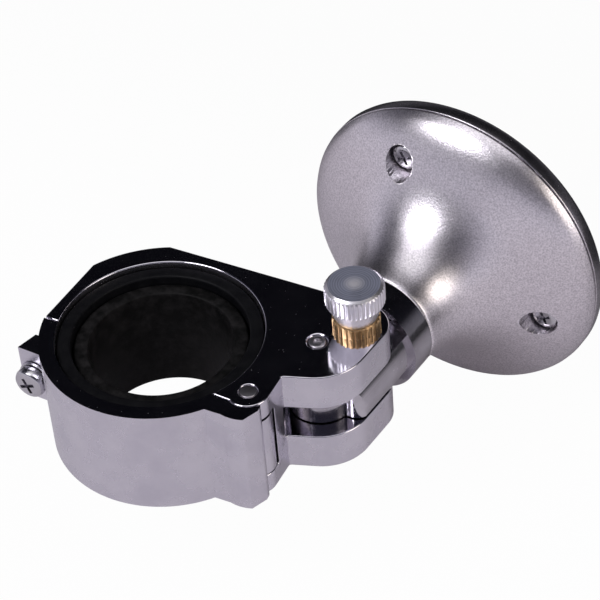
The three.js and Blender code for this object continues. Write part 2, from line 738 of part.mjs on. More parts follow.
function waveWasher() {
  const far = nut_near - stack_gap;
  return turned(ringProfile(
    stud_radius + stack_gap, wave_washer_radius, far - wave_washer_thickness, far,
  ));
}

function lockNut() {
  const nut = toSolid(new THREE.CylinderGeometry(nut_radius, nut_radius, nut_height, 6).rotateX(Math.PI / 2)
    .translate(0, 0, nut_near + nut_height / 2));
  return toGeometry(nut.subtract(toSolid(disc(stud_radius + 0.2, 0, nut_near + nut_height + through))));
}

// ---- Finishes -----------------------------------------------------------------------------
const finish = {
  chrome: { color: 0xc9c8d2, roughness: 0.08, metalness: 1 },
  satin: { color: 0xa9a6b1, roughness: 0.38, metalness: 1 },
  aluminium: { color: 0xc6c3cf, roughness: 0.25, metalness: 1 },
  brass: { color: 0xb98d48, roughness: 0.25, metalness: 1 },
  steel: { color: 0x9c9aa0, roughness: 0.3, metalness: 1 },
  rubber: { color: 0x151518, roughness: 0.75, metalness: 0 },
  nylon: { color: 0x2a2826, roughness: 0.5, metalness: 0 },
  foam: { color: 0x303034, roughness: 0.95, metalness: 0 },
  mirror: { color: 0xf2f4f6, roughness: 0.02, metalness: 1 },
};

function piece(name, geometry, look) {
  const mesh = new THREE.Mesh(geometry, new THREE.MeshStandardMaterial(finish[look]));
  mesh.name = name;
  return mesh;
}

// ---- Assembly -----------------------------------------------------------------------------
const outer_sleeve_radius = bore_radius - running_gap;
const inner_sleeve_radius = outer_sleeve_radius - outer_sleeve_wall - running_gap;

const clamp = new THREE.Group();
clamp.add(
  piece('clamp_body', toGeometry(clampBody()), 'chrome'),
  piece('clamp_jaw', toGeometry(clampJaw()), 'chrome'),
  piece('hinge_pin', hingePin(), 'steel'),
  piece('pivot_pin', pivotPin(), 'steel'),
  piece('clamp_screw', clampScrew(), 'steel'),
  piece('clamp_screw_washer', clampWasher(), 'steel'),
  piece('outer_sleeve', sleeve(
    outer_sleeve_radius, outer_sleeve_wall, outer_sleeve_top, outer_sleeve_length,
  ), 'rubber'),
  piece('inner_sleeve', sleeve(
    inner_sleeve_radius, inner_sleeve_wall, inner_sleeve_top, inner_sleeve_length,
  ), 'rubber'),
  piece('plunger_bush', plungerBush(), 'brass'),
  piece('plunger_pin', plungerPin(), 'steel'),
  piece('plunger_spring', plungerSpring(), 'steel'),
  piece('plunger_knob', plungerKnob(), 'aluminium'),
);

// The neck's frame: origin on the pivot, x along the head's axis.
const neck = new THREE.Group();
neck.position.set(pivot[0], pivot[1], 0);
neck.rotation.z = rad(head_azimuth);
neck.add(piece('neck_block', neckBlock(), 'chrome'));

// The swivel's frame: origin on the pivot at the axis' height, z along the head's axis.
const swivel = new THREE.Group();
swivel.position.set(0, 0, head_height);
swivel.setRotationFromMatrix(new THREE.Matrix4().makeBasis(
  new THREE.Vector3(0, 1, 0), new THREE.Vector3(0, 0, 1), new THREE.Vector3(1, 0, 0),
));
swivel.add(
  piece('thrust_washer', thrustWasher(), 'nylon'),
  piece('swivel_bush', swivelBush(), 'nylon'),
  piece('flat_washer', flatWasher(), 'steel'),
  piece('wave_washer', waveWasher(), 'steel'),
  piece('lock_nut', lockNut(), 'steel'),
  piece('back_shell', backShell(), 'satin'),
  piece('front_bezel', frontBezel(), 'satin'),
  piece('mirror_carrier', mirrorCarrier(), 'steel'),
  piece('foam_pad', foamPad(), 'foam'),
  piece('mirror_glass', mirrorGlass(), 'mirror'),
);
screwPlaces.forEach((place, i) => swivel.add(piece(`shell_screw_${i + 1}`, shellScrew(place), 'steel')));
neck.add(swivel);

const part = new THREE.Group();
part.add(clamp, neck);
export default part;
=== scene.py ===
"""Looks of a small round mirror head on a hinged tube clamp.

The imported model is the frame. Every piece here is built in millimetres in the row frame, placed by
the record's joints and the nodes' boxes, and turned into metres when its mesh is made.
"""

import json
import logging
import math
from collections.abc import Callable, Sequence
from dataclasses import dataclass, field
from enum import Enum
from functools import cache

import bmesh
import bpy
from mathutils import Matrix, Vector


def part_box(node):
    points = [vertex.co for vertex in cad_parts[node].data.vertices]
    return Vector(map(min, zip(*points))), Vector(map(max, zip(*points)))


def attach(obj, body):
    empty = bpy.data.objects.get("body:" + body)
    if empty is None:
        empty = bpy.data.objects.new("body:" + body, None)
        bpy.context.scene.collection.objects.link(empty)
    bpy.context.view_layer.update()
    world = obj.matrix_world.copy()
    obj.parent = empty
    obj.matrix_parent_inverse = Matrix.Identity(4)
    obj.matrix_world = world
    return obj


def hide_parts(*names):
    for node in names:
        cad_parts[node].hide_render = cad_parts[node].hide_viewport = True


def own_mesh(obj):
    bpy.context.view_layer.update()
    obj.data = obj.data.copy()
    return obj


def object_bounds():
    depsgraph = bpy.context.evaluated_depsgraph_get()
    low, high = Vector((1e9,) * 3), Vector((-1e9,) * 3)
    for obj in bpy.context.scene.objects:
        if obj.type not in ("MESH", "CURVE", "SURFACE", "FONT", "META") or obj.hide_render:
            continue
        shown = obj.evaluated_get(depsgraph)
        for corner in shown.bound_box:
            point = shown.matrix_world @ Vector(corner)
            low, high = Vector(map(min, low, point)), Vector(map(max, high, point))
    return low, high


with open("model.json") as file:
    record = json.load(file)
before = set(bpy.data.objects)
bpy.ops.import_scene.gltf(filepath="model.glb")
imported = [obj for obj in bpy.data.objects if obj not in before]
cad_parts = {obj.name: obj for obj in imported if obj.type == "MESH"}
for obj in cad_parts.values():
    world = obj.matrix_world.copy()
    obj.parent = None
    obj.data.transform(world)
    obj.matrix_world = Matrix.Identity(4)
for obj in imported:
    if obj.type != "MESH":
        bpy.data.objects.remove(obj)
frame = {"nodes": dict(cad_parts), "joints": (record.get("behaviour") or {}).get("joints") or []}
cad_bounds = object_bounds()

log = logging.getLogger("mirror_head")

MM = 0.001  # The pieces are drawn in millimetres, and the frame is in metres
ON_AXIS = 1e-6  # A lathe's points nearer than this lie on its axis
BEYOND = 5.0  # How far a cutter reaches past the faces that it cuts
Point = tuple[float, float]
Profile = list[Point]
Triple = tuple[float, float, float]
Solid = bmesh.types.BMesh
Piece = bpy.types.Object
Material = bpy.types.Material
Socket = bpy.types.NodeSocket
WHITE = (1.0, 1.0, 1.0, 1.0)
JOINTS = {joint["name"]: joint for joint in frame["joints"]}


class Cut(Enum):
    """What a second solid does to the first."""

    REMOVE = "DIFFERENCE"
    ADD = "UNION"
    KEEP_COMMON = "INTERSECT"


class Body(Enum):
    """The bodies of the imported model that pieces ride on."""

    CLAMP = "clamp"
    JAW = "jaw"
    SCREW = "screw"
    PLUNGER = "plunger"
    NECK = "neck"
    HEAD = "head"


# ---- Plane geometry -----------------------------------------------------------------------------
def polar(radius: float, azimuth: float, centre: Sequence[float] = (0.0, 0.0)) -> Point:
    """Point at a radius and an azimuth in degrees round a centre."""
    angle = math.radians(azimuth)
    return centre[0] + radius * math.cos(angle), centre[1] + radius * math.sin(angle)


def arc(
    centre: Sequence[float], radius: float, start: float, end: float, step: float = 3.0,
) -> Profile:
    """Points on an arc between two azimuths in degrees, clockwise if the end is the lesser one."""
    count = max(2, math.ceil(abs(end - start) / step))
    return [polar(radius, start + (end - start) * i / count, centre) for i in range(count + 1)]


def fillet(
    points: Profile, radius: float, steps: int = 3, loop: bool = False, least: float = 20.0,
) -> Profile:
    """Rounds the corners of a chain of points, or of a loop.

    Each rounding starts at most a radius from its corner, and takes at most most_of_side of the
    shorter side. Corners that turn less than the least angle, in degrees, stay.
    """
    most_of_side = 0.45
    rounded: Profile = []
    count = len(points)
    for i, here in enumerate(points):
        if not loop and i in (0, count - 1):
            rounded.append(here)
            continue
        corner = Vector(here)
        before = Vector(points[i - 1]) - corner
        after = Vector(points[(i + 1) % count]) - corner
        turn = 180.0 - math.degrees(before.angle(after, math.pi))
        if turn < least:
            rounded.append(here)
            continue
        reach = min(radius, most_of_side * before.length, most_of_side * after.length)
        first = corner + before.normalized() * reach
        last = corner + after.normalized() * reach
        for k in range(steps + 1):
            t = k / steps
            point = first * (1 - t) ** 2 + corner * (2 * t * (1 - t)) + last * t**2
            rounded.append((point.x, point.y))
    return rounded


def spline(knots: Profile, steps: int) -> Profile:
    """Smooth curve through knots, with a number of steps between each two."""
    curve: Profile = []
    count = len(knots)
    for i in range(count - 1):
        p0, p1 = Vector(knots[max(i - 1, 0)]), Vector(knots[i])
        p2, p3 = Vector(knots[i + 1]), Vector(knots[min(i + 2, count - 1)])
        for k in range(steps):
            t = k / steps
            point = 0.5 * (
                2 * p1 + (p2 - p0) * t + (2 * p0 - 5 * p1 + 4 * p2 - p3) * t**2
                + (3 * p1 - p0 - 3 * p2 + p3) * t**3
            )
            curve.append((point.x, point.y))
    curve.append(knots[-1])
    return curve


def ring_profile(inner: float, outer: float, low: float, high: float) -> Profile:
    """Corners of a plain ring's profile, or a disc's where the inner radius is 0."""
    return [(inner, low), (outer, low), (outer, high), (inner, high)]


def inwards(profile: Profile, wall: float) -> Profile:
    """The same curve moved towards the axis by a wall thickness."""
    moved: Profile = []
    for i, (radius, height) in enumerate(profile):
        before, after = profile[max(i - 1, 0)], profile[min(i + 1, len(profile) - 1)]
        length = math.hypot(after[0] - before[0], after[1] - before[1])
        moved.append((
            radius - wall * (after[1] - before[1]) / length,
            height + wall * (after[0] - before[0]) / length,
        ))
    return moved


# ---- Solids -------------------------------------------------------------------------------------
def heights(node: str) -> tuple[float, float]:
    """Lowest and highest level of a node's box, in millimetres."""
    low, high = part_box(node)
    return low.z / MM, high.z / MM


def basis(origin: Sequence[float], x_axis: Vector, y_axis: Vector, z_axis: Vector) -> Matrix:
    """Placement with the given origin in millimetres and axes."""
    place = Matrix.Identity(4)
    for column, axis in enumerate((x_axis, y_axis, z_axis)):
        for row in range(3):
            place[row][column] = axis[row]
    for row in range(3):
        place[row][3] = origin[row]
    return place


def lathe(
    profile: Profile, segments: int = 64, closed: bool = False,
    limit: Callable[[float], float] | None = None,
) -> Solid:
    """Turns a (radius, height) profile, with the outside running upwards, about Z.

    The profile's ends lie on the axis, unless it is closed and makes a ring. A limit gives the
    largest radius at an azimuth in degrees, for flutes.
    """
    solid = bmesh.new()
    rows: list[list[bmesh.types.BMVert]] = []
    for radius, height in profile:
        if radius < ON_AXIS:
            rows.append([solid.verts.new((0.0, 0.0, height))] * segments)
            continue
        row = []
        for i in range(segments):
            azimuth = 360.0 * i / segments
            bound = radius if limit is None else min(radius, limit(azimuth))
            x, y = polar(bound, azimuth)
            row.append(solid.verts.new((x, y, height)))
        rows.append(row)
    pairs = list(zip(rows, rows[1:]))
    if closed:
        pairs.append((rows[-1], rows[0]))
    for low, high in pairs:
        for i in range(segments):
            j = (i + 1) % segments
            corners = [low[i], low[j], high[j], high[i]]
            unique = [v for k, v in enumerate(corners) if v is not corners[k - 1]]
            if len(unique) > 2:
                solid.faces.new(unique)
    return solid


def prism(outline: Profile, bottom: float, top: float) -> Solid:
    """A plan outline, given anticlockwise, raised from one height to another."""
    solid = bmesh.new()
    low = [solid.verts.new((x, y, bottom)) for x, y in outline]
    high = [solid.verts.new((x, y, top)) for x, y in outline]
    solid.faces.new(low[::-1])
    solid.faces.new(high)
    for i, vert in enumerate(low):
        j = (i + 1) % len(low)
        solid.faces.new((vert, low[j], high[j], high[i]))
    return solid


def rod(
    radius: float, bottom: float, top: float, centre: Point = (0.0, 0.0), step: float = 5.0,
) -> Solid:
    """A plain round rod along Z, used as a cutter."""
    return prism(arc(centre, radius, 0.0, 360.0, step)[:-1], bottom, top)


def to_object(solid: Solid, name: str, place: Matrix | None = None) -> Piece:
    """Makes an object, at the origin, of a solid that is placed in millimetres and then freed."""
    solid.transform(Matrix.Scale(MM, 4) @ (place or Matrix.Identity(4)))
    bmesh.ops.recalc_face_normals(solid, faces=solid.faces)
    mesh = bpy.data.meshes.new(name)
    solid.to_mesh(mesh)
    solid.free()
    made = bpy.data.objects.new(name, mesh)
    bpy.context.scene.collection.objects.link(made)
    return made


def carve(
    target: Piece, tool: Solid, place: Matrix | None = None, cut: Cut = Cut.REMOVE,
) -> None:
    """Changes an object for good with a tool solid, which is placed in millimetres and used up."""
    cutter = to_object(tool, "cutter", place)
    modifier = target.modifiers.new("cut", "BOOLEAN")
    modifier.operation = cut.value
    modifier.solver = "EXACT"
    modifier.object = cutter
    graph = bpy.context.evaluated_depsgraph_get()
    result = bpy.data.meshes.new_from_object(target.evaluated_get(graph))
    target.modifiers.clear()
    spent = target.data
    target.data = result
    bpy.data.meshes.remove(spent)
    cutter_mesh = cutter.data
    bpy.data.objects.remove(cutter)
    bpy.data.meshes.remove(cutter_mesh)


def tidy_mesh(target: Piece, merge: float = 0.05, flat: float = 0.4) -> None:
    """Merges points nearer than some millimetres, then faces that are flat within some degrees."""
    solid = bmesh.new()
    solid.from_mesh(target.data)
    bmesh.ops.remove_doubles(solid, verts=solid.verts, dist=merge * MM)
    bmesh.ops.dissolve_limit(
        solid, angle_limit=math.radians(flat), verts=solid.verts, edges=solid.edges,
    )
    solid.to_mesh(target.data)
    solid.free()


# ---- Finishes -----------------------------------------------------------------------------------
class Graph:
    """A node tree, with short calls that add a node, set it and feed it."""

    def __init__(self, owner: Material | bpy.types.World) -> None:
        """Empties the owner's tree and adds its output."""
        owner.use_nodes = True
        self.tree = owner.node_tree
        self.tree.nodes.clear()
        kind = "World" if isinstance(owner, bpy.types.World) else "Material"
        self.surface = self.tree.nodes.new(f"ShaderNodeOutput{kind}").inputs["Surface"]

    def link(self, source: object, socket: Socket) -> None:
        """Feeds a socket from another socket, or sets it to a value."""
        if isinstance(source, Socket):
            self.tree.links.new(source, socket)
        else:
            socket.default_value = source

    def node(
        self, kind: str, feeds: dict[int | str, object] | None = None, output: int | str = 0,
        **settings: str,
    ) -> Socket:
        """Adds a node of a kind, makes its settings, feeds its inputs and returns an output."""
        made = self.tree.nodes.new(f"ShaderNode{kind}")
        for name, value in settings.items():
            setattr(made, name, value)
        for key, source in (feeds or {}).items():
            self.link(source, made.inputs[key])
        return made.outputs[output]

    def parts(self, vector: Socket) -> Sequence[Socket]:
        """The X, Y and Z of a vector."""
        return self.node("SeparateXYZ", {0: vector}).node.outputs

    def sum(self, operation: str, first: object, second: object) -> Socket:
        """A sum on two numbers or sockets."""
        return self.node("Math", {0: first, 1: second}, operation=operation)

    def spread(
        self, value: object, low: float, high: float, to_low: float = 0.0, to_high: float = 1.0,
    ) -> Socket:
        """Maps a range of a value to another range, clamped."""
        feeds = {"From Min": low, "From Max": high, "To Min": to_low, "To Max": to_high}
        return self.node("MapRange", {"Value": value, **feeds})

    def blend(self, share: object, first: object, second: object) -> Socket:
        """Mixes two colours."""
        first, second = (
            colour if isinstance(colour, Socket) else (*colour, 1.0) for colour in (first, second)
        )
        return self.node("Mix", {"Factor": share, 6: first, 7: second}, 2, data_type="RGBA")


class Weave(Graph):
    """A material's node tree, with the patterns that the finishes use."""

    def __init__(self, name: str) -> None:
        """Starts a material with a shader."""
        self.material = bpy.data.materials.new(name)
        super().__init__(self.material)
        self.shading = self.node("BsdfPrincipled")
        self.link(self.shading, self.surface)
        self.place = self.node("TexCoord", output="Object")

    def upward(self) -> Socket:
        """The Z of the surface's own normal."""
        return self.parts(self.node("TexCoord", output="Normal"))["Z"]

    def stretched(self, scale: Sequence[float], turn: Sequence[float]) -> Socket:
        """Object coordinates stretched along the axes and turned by angles in degrees."""
        angles = [math.radians(angle) for angle in turn]
        return self.node("Mapping", {"Vector": self.place, "Scale": scale, "Rotation": angles})

    def noise(
        self, per_mm: float, detail: float = 3.0, where: object = None, rough: float = 0.55,
    ) -> Socket:
        """Noise with a number of cells in each millimetre."""
        feeds = {"Scale": per_mm / MM, "Detail": detail, "Roughness": rough}
        return self.node("TexNoise", {"Vector": where or self.place, **feeds}, "Fac")

    def cells(self, per_mm: float) -> Socket:
        """Distance to the nearest of scattered points."""
        return self.node("TexVoronoi", {"Vector": self.place, "Scale": per_mm / MM}, "Distance")

    def bump(self, height: object, depth: float, over: Socket | None = None) -> Socket:
        """Normal from a height of a depth in millimetres, over another normal if given."""
        feeds = {"Strength": 1.0, "Distance": depth * MM, "Height": height}
        return self.node("Bump", feeds | ({"Normal": over} if over else {}))

    def set(self, **sockets: object) -> None:
        """Sets or feeds the shader's sockets, named in lower case with underscores."""
        for name, source in sockets.items():
            title = name.replace("_", " ").title().replace("Ior", "IOR")
            self.link(source, self.shading.node.inputs[title])


@dataclass(frozen=True)
class MetalFinish:
    """Bare or plated metal with smudges, fine scratches and specks of dust.

    Attributes:
        name: Material name.
        colour: Reflection colour.
        shade: Darker colour in the smudged places.
        smooth: Least roughness.
        rough: Greatest roughness.
        scratch: Depth of the fine scratches in millimetres.
        grain: Depth of an even fine grain in millimetres.
        grain_size: Cells of the grain in each millimetre.
        dust: Share of the specks that show.
        upright: Roughness added on faces that stand upright.
        dust_colour: Triple of the specks on plain metal.
        grain_dust: Triple of the specks on grained metal.
        brushed: Stretch of the scratches along each axis.
        brushed_turn: Angles that their direction is turned by.
    """

    name: str
    colour: Triple
    shade: Triple
    smooth: float = 0.04
    rough: float = 0.12
    scratch: float = 0.0004
    grain: float = 0.0
    grain_size: float = 3.4
    dust: float = 0.4
    upright: float = 0.0
    dust_colour: Triple = (0.78, 0.76, 0.78)
    grain_dust: Triple = (0.3, 0.29, 0.3)
    brushed: Triple = (1.0, 0.06, 1.0)
    brushed_turn: Triple = (12, 8, 34)

    def make(self) -> Material:
        """Builds the material."""
        weave = Weave(self.name)
        smudge = weave.noise(0.16, 4.0)
        streaks = weave.noise(9.0, 2.0, weave.stretched(self.brushed, self.brushed_turn))
        specks = weave.spread(weave.cells(0.75), 0.035, 0.075, self.dust, 0.0)
        tint = weave.blend(weave.spread(smudge, 0.35, 0.7), self.colour, self.shade)
        lying = weave.sum("ABSOLUTE", weave.upward(), 0.0)
        standing = weave.spread(lying, 0.3, 0.7, self.upright, 0.0)
        matt = weave.sum("ADD", weave.sum("MULTIPLY", specks, 0.4), standing)
        worn = weave.spread(smudge, 0.3, 0.75, self.smooth, self.rough)
        normal = weave.bump(weave.spread(streaks, 0.55, 0.7), self.scratch)
        if self.grain:
            peening = weave.noise(self.grain_size, 2.0)
            bright = [min(1.0, value * 1.14) for value in self.colour]
            dark = [value * 0.82 for value in self.shade]
            tint = weave.blend(weave.spread(peening, 0.36, 0.64), dark, bright)
            normal = weave.bump(peening, self.grain, over=normal)
        dust = self.grain_dust if self.grain else self.dust_colour
        weave.set(
            base_color=weave.blend(specks, tint, dust), metallic=1.0,
            roughness=weave.sum("ADD", worn, matt), normal=normal,
        )
        return weave.material


@dataclass(frozen=True)
class TurnedFinish:
    """Turned metal whose end face shows rings about an axis, with painted shade in the rings'
    valleys and round the edge of the end face, and a painted highlight in its middle.

    Attributes:
        name: Material name.
        colour: Reflection colour of the sides, also laid on the middle of the end face as a painted
            highlight.
        face_colour: Triple of the end face.
        shade_and_smudge_colour: Triple of the painted shade in the rings' valleys and round the
            edge, and of the smudges.
        axis: A point on the axis of turning, in metres.
        pitch: Distance between rings in millimetres.
        depth: Depth of the rings in millimetres.
        grain: Depth of the fine grain in millimetres.
        roughness: Mean roughness of the sides.
        face_roughness: Roughness added on the end face.
        centre: Radii in millimetres between which the painted highlight in the middle fades out.
        edge: Radii in millimetres between which the painted shade round the edge comes in.
    """

    name: str
    colour: Triple
    face_colour: Triple
    shade_and_smudge_colour: Triple
    axis: Triple
    pitch: float = 0.42
    depth: float = 0.0012
    grain: float = 0.0015
    roughness: float = 0.34
    face_roughness: float = 0.24
    centre: Point = (0.5, 2.1)
    edge: Point = (3.6, 4.4)

    def make(self) -> Material:
        """Builds the material."""
        weave = Weave(self.name)
        shift = [-value for value in self.axis]
        centred = weave.node("Mapping", {"Vector": weave.place, "Location": shift})
        wave = {
            "Vector": centred, "Scale": 0.31 / (self.pitch * MM), "Distortion": 0.35,
            "Detail": 2.0, "Detail Scale": 1.2,
        }
        ridge = weave.node("TexWave", wave, "Fac", wave_type="RINGS", rings_direction="Z")
        smudge = weave.noise(0.3, 4.0)
        reach = weave.node("VectorMath", {0: centred}, "Value", operation="LENGTH")
        # Painted highlight: the middle of the end face takes the sides' lighter colour.
        painted_middle_highlight = weave.spread(reach, *(radius * MM for radius in self.centre), 1.0, 0.0)
        # Painted shade round the edge of the end face.
        painted_rim_shade = weave.spread(reach, *(radius * MM for radius in self.edge), 0.0, 0.35)
        # Painted shade in the rings' valleys.
        painted_valley_shade = weave.spread(ridge, 0.1, 0.8, 0.5, 0.0)
        face = weave.blend(painted_valley_shade, self.shade_and_smudge_colour, self.face_colour)
        face = weave.blend(painted_middle_highlight, face, self.colour)
        face = weave.blend(painted_rim_shade, face, self.shade_and_smudge_colour)
        on_face = weave.spread(weave.upward(), 0.8, 0.95)
        tint = weave.blend(on_face, self.colour, face)
        smudged = weave.spread(smudge, 0.4, 0.75, 0.0, 0.3)
        worn = weave.spread(smudge, 0.3, 0.7, self.roughness - 0.05, self.roughness + 0.08)
        ridged = weave.bump(ridge, self.depth)
        weave.set(
            base_color=weave.blend(smudged, tint, self.shade_and_smudge_colour),
            metallic=1.0,
            roughness=weave.sum("ADD", worn, weave.sum("MULTIPLY", on_face, self.face_roughness)),
            normal=weave.bump(weave.noise(7.0, 2.0), self.grain, over=ridged),
        )
        return weave.material


@dataclass(frozen=True)
class SoftFinish:
    """Rubber, foam, paint or plastic: coloured, grained and slightly uneven.

    Attributes:
        name: Material name.
        colour: Main colour.
        bloom: Triple of the worn or dusty places.
        bloom_share: How much of the bloom shows.
        roughness: Mean roughness.
        grain: Depth of the grain in millimetres.
        grain_size: Cells of the grain in each millimetre.
        sheen: Level of the plain mirror reflection.
        uneven: How far the roughness strays from its mean.
    """

    name: str
    colour: Triple
    bloom: Triple
    bloom_share: float = 0.5
    roughness: float = 0.6
    grain: float = 0.01
    grain_size: float = 4.0
    sheen: float = 0.4
    uneven: float = 0.12

    def make(self) -> Material:
        """Builds the material."""
        weave = Weave(self.name)
        patches = weave.noise(0.42, 5.0, rough=0.7)
        specks = weave.spread(weave.cells(1.3), 0.04, 0.1, 0.5, 0.0)
        bloomed = weave.spread(patches, 0.42, 0.72, 0.0, self.bloom_share)
        tint = weave.blend(bloomed, self.colour, self.bloom)
        least, most = self.roughness - self.uneven, self.roughness + self.uneven
        weave.set(
            base_color=weave.blend(specks, tint, self.bloom),
            roughness=weave.spread(patches, 0.3, 0.7, least, most),
            normal=weave.bump(weave.noise(self.grain_size, 3.0), self.grain),
            specular_ior_level=self.sheen,
        )
        return weave.material


Finish = MetalFinish | TurnedFinish | SoftFinish

CHROME = MetalFinish(
    "polished_chrome", (0.76, 0.74, 0.80), (0.67, 0.65, 0.72), dust=0.7, upright=0.2,
)
NECK_CHROME = MetalFinish(
    "polished_neck", (0.66, 0.64, 0.68), (0.50, 0.48, 0.52), rough=0.16, scratch=0.003, dust=0.9,
)
SATIN = MetalFinish(
    "satin_silver", (0.80, 0.76, 0.80), (0.75, 0.71, 0.755), 0.28, 0.35, grain=0.032, dust=0.6,
)
# The bezel's satin: a darker copy of the shell's satin, painted shade for the dark band round the
# rim.
SHADED_RIM_SATIN = MetalFinish(
    "shaded_rim_satin", (0.62, 0.59, 0.62), (0.52, 0.49, 0.53), 0.20, 0.27, grain=0.012, dust=0.5,
)
STEEL = MetalFinish("bright_steel", (0.66, 0.65, 0.68), (0.52, 0.51, 0.54), 0.12, 0.24, 0.001)
PIN_STEEL = MetalFinish("ground_steel", (0.56, 0.54, 0.57), (0.45, 0.43, 0.46), 0.26, 0.38, 0.002)
BRASS = MetalFinish("knurled_brass", (0.80, 0.56, 0.30), (0.48, 0.30, 0.14), 0.26, 0.40, 0.003)
MIRROR = MetalFinish(
    "silvered_face", (0.92, 0.93, 0.94), (0.90, 0.91, 0.93), 0.01, 0.02, 0.0, dust=0.25,
)
OUTER_RUBBER = SoftFinish(
    "sleeve_rubber", (0.003, 0.003, 0.004), (0.010, 0.010, 0.011), 0.4, 0.5, 0.012, sheen=0.12,
)
INNER_RUBBER = SoftFinish(
    "bore_rubber", (0.003, 0.003, 0.003), (0.022, 0.020, 0.021), 0.7, 0.55, 0.03, 3.0, 0.10,
)
NYLON = SoftFinish("bearing_plastic", (0.10, 0.065, 0.04), (0.16, 0.12, 0.08), 0.4, 0.5, 0.004)
FOAM = SoftFinish("pad_foam", (0.05, 0.05, 0.055), (0.09, 0.09, 0.095), 0.6, 0.85, 0.08, 2.0)
PAINT = SoftFinish("grey_paint", (0.17, 0.17, 0.18), (0.21, 0.21, 0.22), 0.4, 0.4, 0.004)


@cache
def material_of(finish: Finish) -> Material:
    """The finish's material, made at its first use."""
    return finish.make()


def dress(
    piece: Piece, node: str, body: Body, finish: Finish,
    bevel: float = 0.0, sharp: float = 38.0, crowded: bool = True,
) -> None:
    """Gives a finished mesh its finish, shading and body.

    Args:
        piece: The piece, in place.
        node: The node that it stands for.
        body: The body that it rides on.
        finish: Its finish.
        bevel: Width of the rounding on its sharp edges, in millimetres.
        sharp: Edges sharper than this many degrees are rounded and shaded apart.
        crowded: Whether the rounding narrows where short edges crowd.
    """
    piece.data.materials.clear()
    piece.data.materials.append(material_of(finish))
    piece.data.shade_smooth()
    if bevel:
        rounding = piece.modifiers.new("rounding", "BEVEL")
        rounding.width = bevel * MM
        rounding.segments = 2
        rounding.limit_method = "ANGLE"
        rounding.angle_limit = math.radians(sharp)
        rounding.use_clamp_overlap = crowded
        rounding.miter_outer = "MITER_ARC"
        evened = piece.modifiers.new("evened", "WEIGHTED_NORMAL")
        evened.keep_sharp = False
    else:
        piece.data.set_sharp_from_angle(angle=math.radians(sharp))
    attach(piece, body.value)
    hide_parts(node)
    log.info("%s rides on %s, %d faces", piece.name, body.value, len(piece.data.polygons))


def refinish(node: str, finish: Finish) -> None:
    """Gives a node of the frame that keeps its own mesh a finish."""
    shown = frame["nodes"][node]
    shown.data.materials.clear()
    shown.data.materials.append(material_of(finish))
    log.info("%s keeps its mesh in %s", node, finish.name)


# ---- Fasteners ----------------------------------------------------------------------------------
@dataclass
class CrossScrew:
    """A pan-head screw with a cross recess, its face at z = 0 and its shank below.

    Attributes:
        head_radius: Radius of the head.
        head_height: Height of the head.
        shank_radius: Radius of the shank.
        length: Whole length.
    """

    head_radius: float
    head_height: float
    shank_radius: float
    length: float

    def build(self, name: str, place: Matrix) -> Piece:
        """Makes the screw with its face's centre at the place's origin and its face along +Z."""
        recess_turn, soft, taper, tip = 25.0, 0.28, 0.25, 0.4
        head, height, shank = self.head_radius, self.head_height, self.shank_radius
        profile = [
            (0.0, -self.length), (shank - taper, -self.length),
            (shank, -self.length + tip), (shank, -height), (head, -height),
            (head, -0.42 * height), (head * 0.93, -0.16 * height), (head * 0.66, 0.0), (0.0, 0.0),
        ]
        screw = to_object(lathe(fillet(profile, soft, 4)), name, place)
        reach, half, depth = head * 0.55, head * 0.115, height * 0.55
        outline = [(-reach, -half), (reach, -half), (reach, half), (-reach, half)]
        for turn in (recess_turn, recess_turn + 90.0):
            turned = place @ Matrix.Rotation(math.radians(turn), 4, "Z")
            carve(screw, prism(outline, -depth, 1.0), turned)
        return screw


